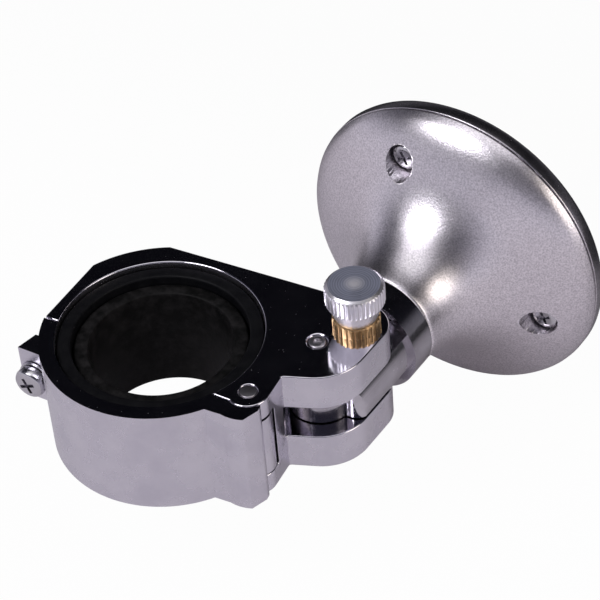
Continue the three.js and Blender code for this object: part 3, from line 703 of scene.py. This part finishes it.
# ---- Clamp --------------------------------------------------------------------------------------
@dataclass
class TubeClamp:
    """The hinged ring with its arm and ears, the jaw, the pins, the screw and the rubber sleeves.

    Attributes:
        bore: Radius of the metal bore.
        ring: Outer radius of the jaw's ring.
        crown: Outer radius of the body's far side.
        flank: Distance of the body's flat flank from the tube axis, along the split.
        gap: Gap at the split.
        clear: Clearance between faces that slide or turn past each other.
        knuckle: Radius of the hinge's round ends.
        leaf: Height of the body's hinge leaves.
        boss: Outer radius of the jaw about its hinge.
        ear: Radius of the ears about the pivot.
        ear_thickness: Height of each ear.
        plunger_distance: Plunger from the pivot.
        plunger_azimuth: Its direction.
        split_azimuth: Direction of the split seen from the hinge.
        parting: Where the leaf's round end begins, seen from the hinge.
        slot_azimuth: Direction of the slot between the ears.
        slot_end: Its end, from the tube axis.
        pin_hole: Radius of the hinge's hole, and of the screw's in the jaw.
        pivot_hole: Radius of the pivot's hole.
        within: A distance along the split that lies inside the bore.
        edge: Width of the rounding on the polished edges.
    """

    bore: float = 18.0
    ring: float = 20.7
    crown: float = 22.1
    flank: float = 19.96
    gap: float = 0.4
    clear: float = 0.3
    knuckle: float = 3.65
    leaf: float = 4.0
    boss: float = 6.8
    ear: float = 9.0
    ear_thickness: float = 7.2
    plunger_distance: float = 7.65
    plunger_azimuth: float = 37.6
    split_azimuth: float = 158.5
    parting: float = 218.0
    slot_azimuth: float = 10.8
    slot_end: float = 19.95
    pin_hole: float = 1.55
    pivot_hole: float = 1.6
    within: float = 30.0
    edge: float = 0.28
    hinge: Point = field(init=False)
    pivot: Point = field(init=False)
    plunger: Point = field(init=False)
    height: float = field(init=False)

    def __post_init__(self) -> None:
        """Takes the places of the hinge, the pivot and the top face from the frame."""
        self.hinge = tuple(value / MM for value in JOINTS["jaw_hinge"]["pos_m"][:2])
        self.pivot = tuple(value / MM for value in JOINTS["arm_fold"]["pos_m"][:2])
        self.plunger = polar(self.plunger_distance, self.plunger_azimuth, self.pivot)
        self.height = heights("clamp_body")[1]

    @property
    def along(self) -> Vector:
        """Direction of the split, from the hinge to the clamp screw."""
        return Vector(polar(1.0, self.split_azimuth))

    @property
    def across(self) -> Vector:
        """Direction of the clamp screw, from the jaw to the body."""
        return Vector((self.along.y, -self.along.x))

    def on_split(self, distance: float, offset: float) -> Point:
        """A place along the split and off it, seen from the hinge."""
        point = Vector(self.hinge) + distance * self.along + offset * self.across
        return point.x, point.y

    def crossing(self, radius: float, offset: float) -> float:
        """Distance along the split at which it crosses a circle about the tube axis."""
        start = Vector(self.on_split(0.0, offset))
        reach = start.dot(self.along)
        return -reach + math.sqrt(reach**2 - start.length_squared + radius**2)

    def on_parting(self, radius: float) -> Point:
        """The end, inside the bore, of the parting line from the leaf's round end."""
        point = Vector(polar(radius, self.parting, self.hinge)) + 8.0 * self.along
        return point.x, point.y

    def body_outline(self) -> Profile:
        """Outline of the body's half ring, leaves, arm and ears."""
        far_edge, side, facet, head_azimuth = 72.0, -25.0, -17.4, 65.0
        aside = math.sin(math.radians(head_azimuth - self.plunger_azimuth))
        ear_end = self.ear - self.plunger_distance * aside
        far_offset = Vector(self.plunger).dot(Vector(polar(1.0, far_edge))) + ear_end
        crown_from = far_edge + math.degrees(math.acos(far_offset / self.crown))
        crown_to = self.split_azimuth - math.degrees(math.acos(self.flank / self.crown))
        flank_distance = self.flank - Vector(self.hinge).dot(self.along)
        foot = polar(self.knuckle, facet, self.hinge)
        slope = math.radians(facet + 90.0)
        run = (-self.ear - foot[1]) / math.sin(slope)
        corner = (foot[0] + run * math.cos(slope), -self.ear)
        return [
            self.on_split(self.within, self.gap / 2),
            self.on_parting(self.knuckle),
            *arc(self.hinge, self.knuckle, self.parting, facet + 360.0, 4.0),
            corner,
            *arc(self.pivot, self.ear, -90.0, side),
            *arc(self.plunger, ear_end, side, far_edge),
            *arc((0.0, 0.0), self.crown, crown_from, crown_to, 2.0),
            self.on_split(flank_distance, self.gap / 2),
        ]

    def jaw_outline(self) -> Profile:
        """Outline of the jaw's half ring and its wall round the hinge."""
        start = self.on_split(self.crossing(self.ring, -self.gap / 2), -self.gap / 2)
        begin = math.degrees(math.atan2(start[1], start[0]))
        ring_end, boss_start, boss_end, wall_end, face_end = 301.7, 238.0, 272.0, 310.0, 518.0
        tip = ((1.1, 298.0), (0.38, 307.0), (0.0, wall_end))
        return [
            self.on_split(self.within, -self.gap / 2),
            *arc((0.0, 0.0), self.ring, begin, ring_end, 2.0),
            *arc(self.hinge, self.boss, boss_start, boss_end),
            *[polar(self.knuckle + self.clear + out, azimuth, self.hinge) for out, azimuth in tip],
            *arc(self.hinge, self.knuckle, wall_end, face_end, 4.0),
            self.on_parting(self.knuckle),
        ]

    def lug(self, start: float, end: float, reaches: Point, half: float) -> Solid:
        """A screw lug between two offsets from the split, with its root inside the ring.

        The reaches say how far it goes past the screw at the two offsets, and half is half of
        its height.
        """
        root = self.crossing(self.ring, start) - 2.6
        ends = (JOINTS[name]["pos_m"][:2] for name in ("screw_turn", "jaw_hinge"))
        screw = math.dist(*ends) / MM
        outline = [
            self.on_split(root, start), self.on_split(screw + reaches[0], start),
            self.on_split(screw + reaches[1], end), self.on_split(root, end),
        ]
        if end > 0:
            outline.reverse()
        return prism(outline, self.height / 2 - half, self.height / 2 + half)

    def hole(self, radius: float, centre: Point = (0.0, 0.0), step: float = 5.0) -> Solid:
        """A cutter right through the clamp along Z."""
        return rod(radius, -BEYOND, self.height + BEYOND, centre, step)

    def screw_place(self) -> Matrix:
        """Placement on the split at the screw, with Z along the screw towards the body."""
        x, y, z = (value / MM for value in JOINTS["screw_turn"]["pos_m"])
        axis = Vector(JOINTS["screw_turn"]["axis"])
        return basis((x, y, z), Vector((*self.along, 0.0)), Vector((0.0, 0.0, 1.0)), axis)

    def slot(self) -> Solid:
        """Cutter for the slot between the ears."""
        wall = Vector(polar(1.0, self.slot_azimuth))
        side = Vector((-wall.y, wall.x))
        far, half = 60, 40
        corners = ((self.slot_end, -half), (far, -half), (far, half), (self.slot_end, half))
        outline = [tuple(wall * out + side * across) for out, across in corners]
        return prism(outline, self.ear_thickness, self.height - self.ear_thickness)

    def build_body(self) -> None:
        """Half ring, arm and ears in one polished piece."""
        body = to_object(prism(self.body_outline(), 0.0, self.height), "polished_body")
        carve(body, self.lug(self.gap / 2, 2.4, (2.2, 2.2), 2.7), cut=Cut.ADD)
        room, top = self.knuckle + self.clear, self.height
        low, high = self.leaf, top - self.leaf
        wedge = [self.hinge, *(polar(room + 6, end, self.hinge) for end in (140.0, self.parting))]
        bush_hole, tip_hole, sink, rim = 3.25, 1.75, 0.32, self.pivot_hole + 0.5
        chamfer = lathe([
            (0.0, top - sink), (self.pivot_hole, top - sink), (rim, top),
            (rim, top + 1), (0.0, top + 1),
        ], 72)
        for cutter, place in (
            (self.hole(self.bore, step=2.0), None),
            (self.slot(), None),
            (rod(room, low, high, self.hinge), None),
            (prism(wedge, low, high), None),
            (self.hole(self.pin_hole, self.hinge), None),
            (self.hole(self.pivot_hole, self.pivot), None),
            (chamfer, Matrix.Translation((*self.pivot, 0.0))),
            (rod(bush_hole, top - self.ear_thickness - 1, top + BEYOND, self.plunger), None),
            (rod(tip_hole, -1.0, 8.0), self.screw_place()),
        ):
            carve(body, cutter, place)
        tidy_mesh(body)
        dress(body, "clamp_body", Body.CLAMP, CHROME, self.edge, crowded=False)

    def leaf_room(self, low: float, high: float) -> list[Solid]:
        """Cutters for the room that one leaf of the body needs inside the jaw."""
        room = self.knuckle + self.clear
        swept = ((room, 340.0), (room, 390.0), (room + 4, 470.0))
        wedge = [
            self.on_parting(room), *arc(self.hinge, room, self.parting, 310.0),
            *[polar(radius, azimuth, self.hinge) for radius, azimuth in swept],
        ]
        return [prism(wedge, low, high), rod(room, low, high, self.hinge)]

    def build_jaw(self) -> None:
        """Half ring that swings open, with its knuckle and lug."""
        jaw = to_object(prism(self.jaw_outline(), 0.0, self.height), "polished_jaw")
        face = -4.2
        carve(jaw, self.lug(-self.gap / 2, face, (2.1, 3.1), 5.5), cut=Cut.ADD)
        carve(jaw, rod(3.4, face - BEYOND, face), self.screw_place())
        low, high = self.leaf + self.clear, self.height - self.leaf - self.clear
        for cutter in (
            self.hole(self.bore, step=2.0),
            *self.leaf_room(-BEYOND, low), *self.leaf_room(high, self.height + BEYOND),
            self.hole(self.pin_hole, self.hinge),
        ):
            carve(jaw, cutter)
        carve(jaw, rod(self.pin_hole, -12.0, 1.0), self.screw_place())
        tidy_mesh(jaw)
        dress(jaw, "clamp_jaw", Body.JAW, CHROME, self.edge)

    def build_pins(self) -> None:
        """Hinge pin and pivot pin, seen end on in the polished faces."""
        low, high = heights("hinge_pin")
        radius = self.pin_hole - 0.1
        hinge = fillet(ring_profile(0.0, radius, low, high), 0.16)
        low, high = heights("pivot_pin")
        radius, dimple, depth = self.pivot_hole - 0.1, 0.75, 0.42
        pivot = [
            *fillet([*ring_profile(0.0, radius, low, high)[:3], (dimple, high)], 0.3),
            (dimple - 0.2, high - depth), (0.0, high - depth),
        ]
        pins = (("hinge_pin", hinge, self.hinge), ("pivot_pin", pivot, self.pivot))
        for node, profile, spot in pins:
            pin = to_object(lathe(profile), f"{node}_shown", Matrix.Translation((*spot, 0.0)))
            dress(pin, node, Body.CLAMP, PIN_STEEL)

    def build_screw(self) -> None:
        """Clamp screw and its washer."""
        place = self.screw_place()
        face, low, high = -7.2, -4.85, -4.35
        screw = CrossScrew(2.9, 2.2, 1.25, 11.2)
        seat = place @ Matrix.Translation((0.0, 0.0, face)) @ Matrix.Rotation(math.pi, 4, "X")
        dress(screw.build("clamp_screw_shown", seat), "clamp_screw", Body.SCREW, STEEL)
        inner, outer = self.pin_hole, 3.1
        ring = fillet(ring_profile(inner, outer, low, high), 0.12, loop=True)
        washer = to_object(lathe(ring, closed=True), "clamp_washer_shown", place)
        dress(washer, "clamp_screw_washer", Body.JAW, STEEL)

    def build_sleeves(self) -> None:
        """The two rubber sleeves, the inner one lower than the outer one."""
        for node, inner, outer, finish in (
            ("outer_sleeve", 15.3, 17.7, OUTER_RUBBER), ("inner_sleeve", 12.5, 15.0, INNER_RUBBER),
        ):
            ring = fillet(ring_profile(inner, outer, *heights(node)), 0.45, 4, loop=True)
            sleeve = to_object(lathe(ring, 160, closed=True), f"{node}_shown")
            dress(sleeve, node, Body.CLAMP, finish)

    def build(self) -> None:
        """Builds every piece of the clamp."""
        self.build_body()
        self.build_jaw()
        self.build_pins()
        self.build_screw()
        self.build_sleeves()


# ---- Plunger ------------------------------------------------------------------------------------
@dataclass
class IndexPlunger:
    """Knurled knob and bush of the spring plunger.

    Attributes:
        knob: Radius of the knob's band.
        foot: Radius of its lower end.
        taper: Height of its taper.
        band: Height of its knurled band.
        crown: Height of its rounded top edge.
        knob_flutes: Number of flutes round the knob.
        knob_depth: Their depth.
        bush: Radius of the bush's flange.
        bush_flutes: Number of flutes round it.
        bush_depth: Their depth.
        wall: Radius of the bush in its hole.
        guide: Radius of the pin's holes in the knob and the bush.
        well: Radius of the spring's well.
        stroke: How far the knob lifts, which shortens the spring. Not used.
    """

    knob: float = 5.15
    foot: float = 3.55
    taper: float = 3.7
    band: float = 2.8
    crown: float = 0.7
    knob_flutes: int = 40
    knob_depth: float = 0.24
    bush: float = 4.15
    bush_flutes: int = 25
    bush_depth: float = 0.28
    wall: float = 3.15
    guide: float = 1.6
    well: float = 2.65
    stroke: float = 3.6

    @staticmethod
    def flutes(radius: float, depth: float, count: int) -> Callable[[float], float]:
        """Largest radius at an azimuth in degrees, for a round with a count of shallow flutes."""
        middle, half, slope = 0.35, 0.17, 0.16

        def bound(azimuth: float) -> float:
            """Radius at an azimuth: flat on the ridge, then down a slope into the flute."""
            share = (azimuth * count / 360.0) % 1.0
            fall = (abs(share - middle) - half) / slope
            back = (1.0 + middle - half - share) / slope
            return radius - depth * min(1.0, max(0.0, fall), back)
        return bound

    def build(self) -> None:
        """Builds the knob and the bush, and dresses the pin and the spring."""
        low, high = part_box("plunger_knob")
        centre = ((low.x + high.x) / 2, (low.y + high.y) / 2, high.z)
        place = Matrix.Translation((centre[0] / MM, centre[1] / MM, 0.0))
        bottom, top = low.z / MM, high.z / MM
        band = bottom + self.taper
        edge, roof = band + self.band, bottom + 5.0
        groove, half = 0.018, 0.2
        rings = [
            point
            for radius in (3.9, 3.1, 2.3, 1.5, 0.8)
            for point in ((radius + half, top), (radius, top - groove), (radius - half, top))
        ]
        side = spline([
            (self.foot, bottom), (self.foot + 0.3, bottom + 0.2 * self.taper),
            (self.knob - 0.62, bottom + 0.66 * self.taper), (self.knob, band),
        ], 6)
        crown = [
            (self.knob, edge), (self.knob - 0.2, edge + 0.45 * self.crown),
            (self.knob - self.crown, top),
        ]
        profile = [
            (0.0, roof), (self.guide, roof), (self.guide, bottom), *side,
            *fillet(crown, 0.2, least=10.0), *rings, (0.0, top),
        ]
        flutes = self.flutes(self.knob, self.knob_depth, self.knob_flutes)
        knob = to_object(lathe(profile, self.knob_flutes * 10, limit=flutes), "knob_shown", place)
        # The first colour is also the painted highlight in the middle of the end face; the third is
        # painted shade in its ring valleys and round its edge, and the smudges' colour.
        turned = TurnedFinish(
            "turned_aluminium", (0.88, 0.86, 0.90), (0.66, 0.68, 0.80), (0.36, 0.38, 0.48), centre,
        )
        dress(knob, "plunger_knob", Body.PLUNGER, turned, sharp=30.0)
        self.build_bush(place)
        refinish("plunger_pin", PIN_STEEL)
        refinish("plunger_spring", STEEL)
        low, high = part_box("plunger_spring")
        spring = frame["nodes"]["plunger_spring"]
        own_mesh(spring)

    def build_bush(self, place: Matrix) -> None:
        """The brass bush that the plunger slides in."""
        (low, high), deck = heights("plunger_bush"), heights("clamp_body")[1]
        roof = high - 0.7
        flange = [(self.wall, deck), (self.bush, deck), (self.bush, high), (self.guide, high)]
        profile = [
            (self.well, low), (self.wall, low), *fillet(flange, 0.22),
            (self.guide, roof), (self.well, roof),
        ]
        flutes = self.flutes(self.bush, self.bush_depth, self.bush_flutes)
        bush = to_object(lathe(profile, self.bush_flutes * 12, True, flutes), "bush_shown", place)
        dress(bush, "plunger_bush", Body.CLAMP, BRASS, sharp=30.0)


# ---- Neck ---------------------------------------------------------------------------------------
@dataclass
class SwivelNeck:
    """Tongue, collar and spindle in one polished piece, with the swivel joint's inner pieces.

    Attributes:
        tongue: Radius of the round bar that the tongue is cut from.
        boss: Radius of its end about the pivot.
        shoulder: Start of its near shoulder along the axis.
        collar: Radius of the collar.
        collar_start: Start of the collar along the axis.
        collar_end: End of the collar along the axis.
        spindle: Radius and length of the spindle inside the shell.
        stud: Radius of the stud, and its end from the collar.
        track: Half width, depth and sweep in degrees of the plunger's track.
        edge: Width of the rounding on its edges.
    """

    tongue: float = 9.0
    boss: float = 5.8
    shoulder: float = -1.2
    collar: float = 10.0
    collar_start: float = 14.6
    collar_end: float = 20.0
    spindle: Point = (4.0, 6.9)
    stud: Point = (2.5, 13.1)
    track: Triple = (1.8, 3.1, 130.0)
    edge: float = 0.25

    @staticmethod
    def place() -> Matrix:
        """Row placement of the neck's frame: X along the head's axis, Z up, the pivot at z = 0."""
        x, y, _z = (value / MM for value in JOINTS["arm_fold"]["pos_m"])
        axis = Vector(JOINTS["head_swivel"]["axis"])
        return basis((x, y, 0.0), axis, Vector((-axis.y, axis.x, 0.0)), Vector((0.0, 0.0, 1.0)))

    @staticmethod
    def axis_place() -> Matrix:
        """Row placement with Z along the head's axis and the pivot at z = 0."""
        origin = [value / MM for value in JOINTS["head_swivel"]["pos_m"]]
        axis = Vector(JOINTS["head_swivel"]["axis"])
        return basis(origin, Vector((-axis.y, axis.x, 0.0)), Vector((0.0, 0.0, 1.0)), axis)

    def plan(self) -> Profile:
        """Plan of the tongue in the neck's frame."""
        wide, soft = self.tongue + 1, 2.4
        corner = (self.shoulder + soft, -self.tongue + soft)
        return [
            (self.collar_start + 1, wide), (self.collar_start - 2.5, wide),
            (self.boss + 1.5, self.boss),
            *arc((0.0, 0.0), self.boss, 90.0, 260.0),
            (self.shoulder, -self.boss),
            *arc(corner, soft, 180.0, 270.0, 6.0),
            (corner[0], -wide), (self.collar_start + 1, -wide),
        ]

    def build(self) -> None:
        """Builds the neck and dresses the pieces inside the shell."""
        neck_place, lying = self.place(), self.axis_place()
        inset = TubeClamp.ear_thickness + TubeClamp.clear
        low, high = inset, heights("clamp_body")[1] - TubeClamp.ear_thickness - TubeClamp.clear
        neck = to_object(prism(self.plan(), low, high), "polished_neck", neck_place)
        bar = rod(self.tongue, -self.tongue, self.collar_start + 0.5, step=2.5)
        carve(neck, bar, lying, Cut.KEEP_COMMON)
        near, far = self.collar_start, self.collar_end
        (spindle, spindle_end), (stud, stud_end) = self.spindle, self.stud
        collar = lathe([
            (0.0, near), (self.collar, near), (self.collar, far), (spindle, far),
            (spindle, far + spindle_end), (stud, far + spindle_end),
            (stud, far + stud_end), (0.0, far + stud_end),
        ], 144)
        carve(neck, collar, lying, Cut.ADD)
        carve(neck, rod(TubeClamp.pivot_hole, -BEYOND, 30.0), neck_place)
        turned = math.degrees(math.atan2(*JOINTS["head_swivel"]["axis"][1::-1]))
        start, path = TubeClamp.plunger_azimuth - turned, TubeClamp.plunger_distance
        half, depth, sweep = self.track
        outer = arc((0, 0), path + half, start, start + sweep)
        inner = arc((0, 0), path - half, start + sweep, start)
        carve(neck, prism([*outer, *inner], high - depth, high + 1), neck_place)
        carve(neck, rod(half, high - depth, high + 1, polar(path, start)), neck_place)
        tidy_mesh(neck)
        dress(neck, "neck_block", Body.NECK, NECK_CHROME, self.edge)
        for node in ("thrust_washer", "swivel_bush"):
            refinish(node, NYLON)
        for node in ("flat_washer", "wave_washer", "lock_nut"):
            refinish(node, STEEL)


# ---- Head ---------------------------------------------------------------------------------------
@dataclass
class MirrorHead:
    """Satin shell, bezel, convex mirror face and the three screws.

    Attributes:
        start: Rear face of the shell along the head's axis.
        neck: Radius of the shell there.
        web: Solid root of the shell round the swivel bush.
        wall: Thickness of the shell.
        rim: Radius of the rim.
        seam: Seam between shell and bezel along the axis.
        bezel_depth: Depth of the bezel.
        bezel_wall: Its wall.
        screw_circle: Radius of the screws' circle.
        screw_first: Azimuth of the first screw about the axis.
        screw_face: Position of the screws' faces along the axis.
        pocket: Radius of the screw pockets.
        lip: Width and thickness of the bezel's lip over the mirror face.
        glass: Thickness of the mirror face.
        sag: Height of its curve from edge to middle.
        gap: Gap at the seam, and round the mirror face.
    """

    start: float = 20.3
    neck: float = 9.9
    web: float = 5.2
    wall: float = 1.8
    rim: float = 29.4
    seam: float = 43.8
    bezel_depth: float = 3.8
    bezel_wall: float = 2.0
    screw_circle: float = 21.9
    screw_first: float = 72.0
    screw_face: float = 39.1
    pocket: float = 2.95
    lip: Point = (1.6, 0.6)
    glass: float = 1.0
    sag: float = 3.4
    gap: float = 0.2

    def outline(self) -> Profile:
        """Outer profile of the shell: a trumpet, then a soft shoulder to the rim."""
        neck, start = self.neck, self.start
        steps = (
            (0.0, 0.0), (0.5, 3.7), (1.7, 7.2), (3.7, 10.5), (6.3, 13.3), (9.3, 15.6), (12.2, 17.2),
            (14.7, 18.6), (16.9, 20.1),
        )
        knots = [(neck + out, start + rise) for out, rise in steps]
        return spline([
            *knots, (self.rim - 1.0, self.seam - 1.8), (self.rim - 0.2, self.seam - 0.4),
            (self.rim - 0.12, self.seam),
        ], 5)

    def screw_spots(self) -> list[Point]:
        """Centres of the three screws about the axis."""
        return [polar(self.screw_circle, self.screw_first + 120.0 * i) for i in range(3)]

    def build_shell(self, place: Matrix) -> None:
        """The satin back shell with its three pockets."""
        outer = self.outline()
        start, cavity = self.start, self.start + self.web
        bush, recess, depth, soft, screw_hole = 5.4, 7.7, 0.6, 0.3, 1.6
        inner = [
            point for point in inwards(outer, self.wall)
            if cavity < point[1] < self.seam - self.gap and point[0] > bush + 0.9
        ]
        profile = [
            (bush, start + depth), (recess, start + depth), (recess, start),
            (self.neck - soft, start), (self.neck, start + soft), *outer[1:],
            (self.rim - self.wall, self.seam), *inner[::-1], (inner[0][0], cavity), (bush, cavity),
        ]
        shell = to_object(lathe(profile, 180, closed=True), "satin_shell", place)
        seat, under = self.screw_face + 2.0, 0.02
        skin = [(radius - under, height) for radius, height in outer]
        envelope = [(0.0, 0.0), (skin[0][0], 0.0), *skin, (0.0, self.seam)]
        for spot in self.screw_spots():
            boss = to_object(rod(self.pocket + 1.4, cavity + 0.6, seat + 1.3, spot), "boss", place)
            carve(boss, lathe(envelope, 180), place, Cut.KEEP_COMMON)
            solid = bmesh.new()
            solid.from_mesh(boss.data)
            solid.transform(Matrix.Scale(1 / MM, 4))
            bpy.data.objects.remove(boss)
            carve(shell, solid, cut=Cut.ADD)
        for spot in self.screw_spots():
            carve(shell, rod(self.pocket, 0.0, seat, spot, 4.0), place)
            carve(shell, rod(screw_hole, 0.0, 60.0, spot), place)
        dress(shell, "back_shell", Body.HEAD, SATIN, 0.2, 42.0)

    def build_front(self, place: Matrix) -> None:
        """Bezel and convex mirror face."""
        start = self.seam + self.gap
        end, rim, bore = start + self.bezel_depth, self.rim, self.rim - self.bezel_wall
        lip, ledge, foot, floor = bore - self.lip[0], end - self.lip[1], bore - 1.4, start + 0.5
        ring = [
            (foot, start), (rim, start), (rim, end - 1.9), (rim - 0.25, end - 1.1),
            (rim - 0.9, end - 0.35), (rim - 1.9, end), (lip, end), (lip, ledge),
            (bore, ledge), (bore, floor), (foot, floor),
        ]
        ring = fillet(ring, 0.25, loop=True)
        bezel = to_object(lathe(ring, 180, closed=True), "satin_bezel", place)
        # The bezel wears the darker satin, which is painted shade.
        dress(bezel, "front_bezel", Body.HEAD, SHADED_RIM_SATIN)
        edge, steps = bore - self.gap, 24
        sphere = (edge**2 + self.sag**2) / (2 * self.sag)

        def rise(radius: float) -> float:
            """Height of the spherical face over its edge."""
            return math.sqrt(sphere**2 - radius**2) - math.sqrt(sphere**2 - edge**2)

        front = ledge - self.gap - rise(lip)
        radii = [edge * i / steps for i in range(steps + 1)]
        rear_face = [(radius, front - self.glass + rise(radius)) for radius in radii]
        front_face = [(radius, front + rise(radius)) for radius in reversed(radii)]
        glass = to_object(lathe([*rear_face, *front_face], 180), "mirror_face", place)
        dress(glass, "mirror_glass", Body.HEAD, MIRROR)

    def build(self) -> None:
        """Builds every piece of the head."""
        place = SwivelNeck.axis_place()
        self.build_shell(place)
        self.build_front(place)
        screw = CrossScrew(2.55, 1.8, 1.3, 7.2)
        for i, spot in enumerate(self.screw_spots()):
            node, seat = f"shell_screw_{i + 1}", Matrix.Translation((*spot, self.screw_face))
            seat = place @ seat @ Matrix.Rotation(math.pi, 4, "X")
            dress(screw.build(f"{node}_shown", seat), node, Body.HEAD, STEEL)
        refinish("mirror_carrier", PAINT)
        refinish("foam_pad", FOAM)


# ---- Studio -------------------------------------------------------------------------------------
@dataclass
class Studio:
    """Floor, surroundings, lamps and camera.

    Attributes:
        target: Where the camera looks, in metres.
        distance: Camera from the target.
        azimuth: Direction of the camera round the object; 0 looks along +Y.
        elevation: Its height angle.
        roll: Its turn about its own axis.
        lens: Focal length in millimetres on a sensor 36 mm wide.
        drop: Floor below the lowest point of the part, in millimetres.
        whitened: How far the floor is seen as white, whatever falls on it.
    """

    target: Triple = (0.01787, 0.03274, 0.0)
    distance: float = 0.4422
    azimuth: float = 11.87
    elevation: float = 42.14
    roll: float = -4.92
    lens: float = 144.0
    drop: float = 0.6
    whitened: float = 0.975

    def build_camera(self) -> None:
        """The camera at its viewing angle."""
        angles = (self.azimuth, self.elevation, self.roll)
        turn, rise, roll = (math.radians(angle) for angle in angles)
        flat = math.cos(rise)
        back = Vector((math.sin(turn) * flat, -math.cos(turn) * flat, math.sin(rise)))
        level = Vector((math.cos(turn), math.sin(turn), 0.0))
        upright = back.cross(level)
        right = math.cos(roll) * level + math.sin(roll) * upright
        up = math.cos(roll) * upright - math.sin(roll) * level
        data = bpy.data.cameras.new("camera")
        data.lens, data.sensor_width = self.lens, 36.0
        data.clip_start, data.clip_end = 0.01, 20.0
        camera = bpy.data.objects.new("camera", data)
        camera.matrix_world = basis(Vector(self.target) + self.distance * back, right, up, back)
        bpy.context.scene.collection.objects.link(camera)
        bpy.context.scene.camera = camera

    def build_floor(self) -> None:
        """A pale floor, painted dark far behind as painted shade for the metal to mirror. The camera
        sees it white but for the shadow.
        """
        level, reach, thickness = cad_bounds[0].z / MM - self.drop, 900, 2
        corners = [(-reach, -reach), (reach, -reach), (reach, reach), (-reach, reach)]
        floor = to_object(prism(corners, level - thickness, level), "floor")
        weave = Weave("pale_floor_painted_dark_behind")
        spot = weave.parts(weave.place)
        away = weave.sum("ADD", spot["Y"], weave.sum("MULTIPLY", spot["X"], 0.5))
        # Painted shade: far behind, the floor turns near black for the metal to mirror.
        near, far = (0.58, 0.55, 0.58), (0.015, 0.015, 0.018)
        weave.set(base_color=weave.blend(weave.spread(away, 0.04, 0.14), near, far), roughness=0.9)
        glow = weave.node("Emission", {"Color": WHITE})
        camera_ray = weave.node("LightPath", output="Is Camera Ray")
        share = weave.sum("MULTIPLY", camera_ray, self.whitened)
        weave.link(weave.node("MixShader", {0: share, 1: weave.shading, 2: glow}), weave.surface)
        floor.data.materials.append(weave.material)

    def build_world(self) -> None:
        """Plain white to the eye. Metal mirrors bands instead, dark high up and darker behind."""
        world = bpy.data.worlds.new("surroundings")
        bpy.context.scene.world = world
        sky = Graph(world)
        direction = sky.parts(sky.node("TexCoord", output="Generated"))
        bands = sky.node("ValToRGB", {0: direction["Z"]})
        stops = (
            (0.0, (0.62, 0.60, 0.66)), (0.22, (0.46, 0.45, 0.52)), (0.42, (0.03, 0.03, 0.045)),
            (0.84, (0.02, 0.02, 0.03)), (0.93, (0.9, 0.88, 0.94)), (1.0, (1.0, 1.0, 1.0)),
        )
        elements = bands.node.color_ramp.elements
        elements.remove(elements[0])
        for i, (height, colour) in enumerate(stops):
            stop = elements[0] if i == 0 else elements.new(height)
            stop.position, stop.color = height, (*colour, 1.0)
        feeds = {0: direction["X"], 1: 0.3, 2: direction["Y"]}
        behind = sky.node("Math", feeds, operation="MULTIPLY_ADD")
        strength = sky.spread(behind, 0.14, 0.6, 1.1, 0.12)
        plain = sky.node("Background", {"Color": (0.93, 0.94, 1.0, 1.0), "Strength": 0.55})
        mirrored = sky.node("Background", {"Color": bands, "Strength": strength})
        seen = sky.node("Background", {"Color": WHITE})
        ray = sky.node("LightPath").node.outputs
        lit = sky.node("MixShader", {0: ray["Is Glossy Ray"], 1: plain, 2: mirrored})
        sky.link(sky.node("MixShader", {0: ray["Is Camera Ray"], 1: lit, 2: seen}), sky.surface)

    def build_lamps(self) -> None:
        """Soft panels: a key over the left shoulder, a fill from the right and one overhead."""
        # Name, place in metres, width in metres, power in watts and colour
        panels = (
            ("key", (-0.45, -0.35, 0.75), 0.48, 3.9, (0.97, 0.96, 1.0)),
            ("fill", (0.70, -0.25, 0.35), 0.45, 1.3, (1.0, 0.93, 0.84)),
            ("top", (0.0, -0.05, 0.85), 0.50, 0.06, (1.0, 0.98, 1.0)),
        )
        for name, spot, size, power, colour in panels:
            data = bpy.data.lights.new(name, "AREA")
            data.energy, data.color = power, colour
            data.shape, data.size = "DISK", size
            lamp = bpy.data.objects.new(name, data)
            lamp.location = spot
            lamp.rotation_mode = "QUATERNION"
            aim = Vector(self.target) - Vector(spot)
            lamp.rotation_quaternion = aim.to_track_quat("-Z", "Y")
            bpy.context.scene.collection.objects.link(lamp)

    def build(self) -> None:
        """Builds the studio."""
        self.build_camera()
        self.build_floor()
        self.build_world()
        self.build_lamps()
        bpy.context.scene.view_settings.view_transform = "Standard"


def main() -> None:
    """Builds the studio and the pieces in order."""
    logging.basicConfig(level=logging.INFO, format="%(message)s")
    for group in (Studio(), TubeClamp(), IndexPlunger(), SwivelNeck(), MirrorHead()):
        log.info("building %s", type(group).__name__)
        group.build()


if __name__ == "__main__":
    main()
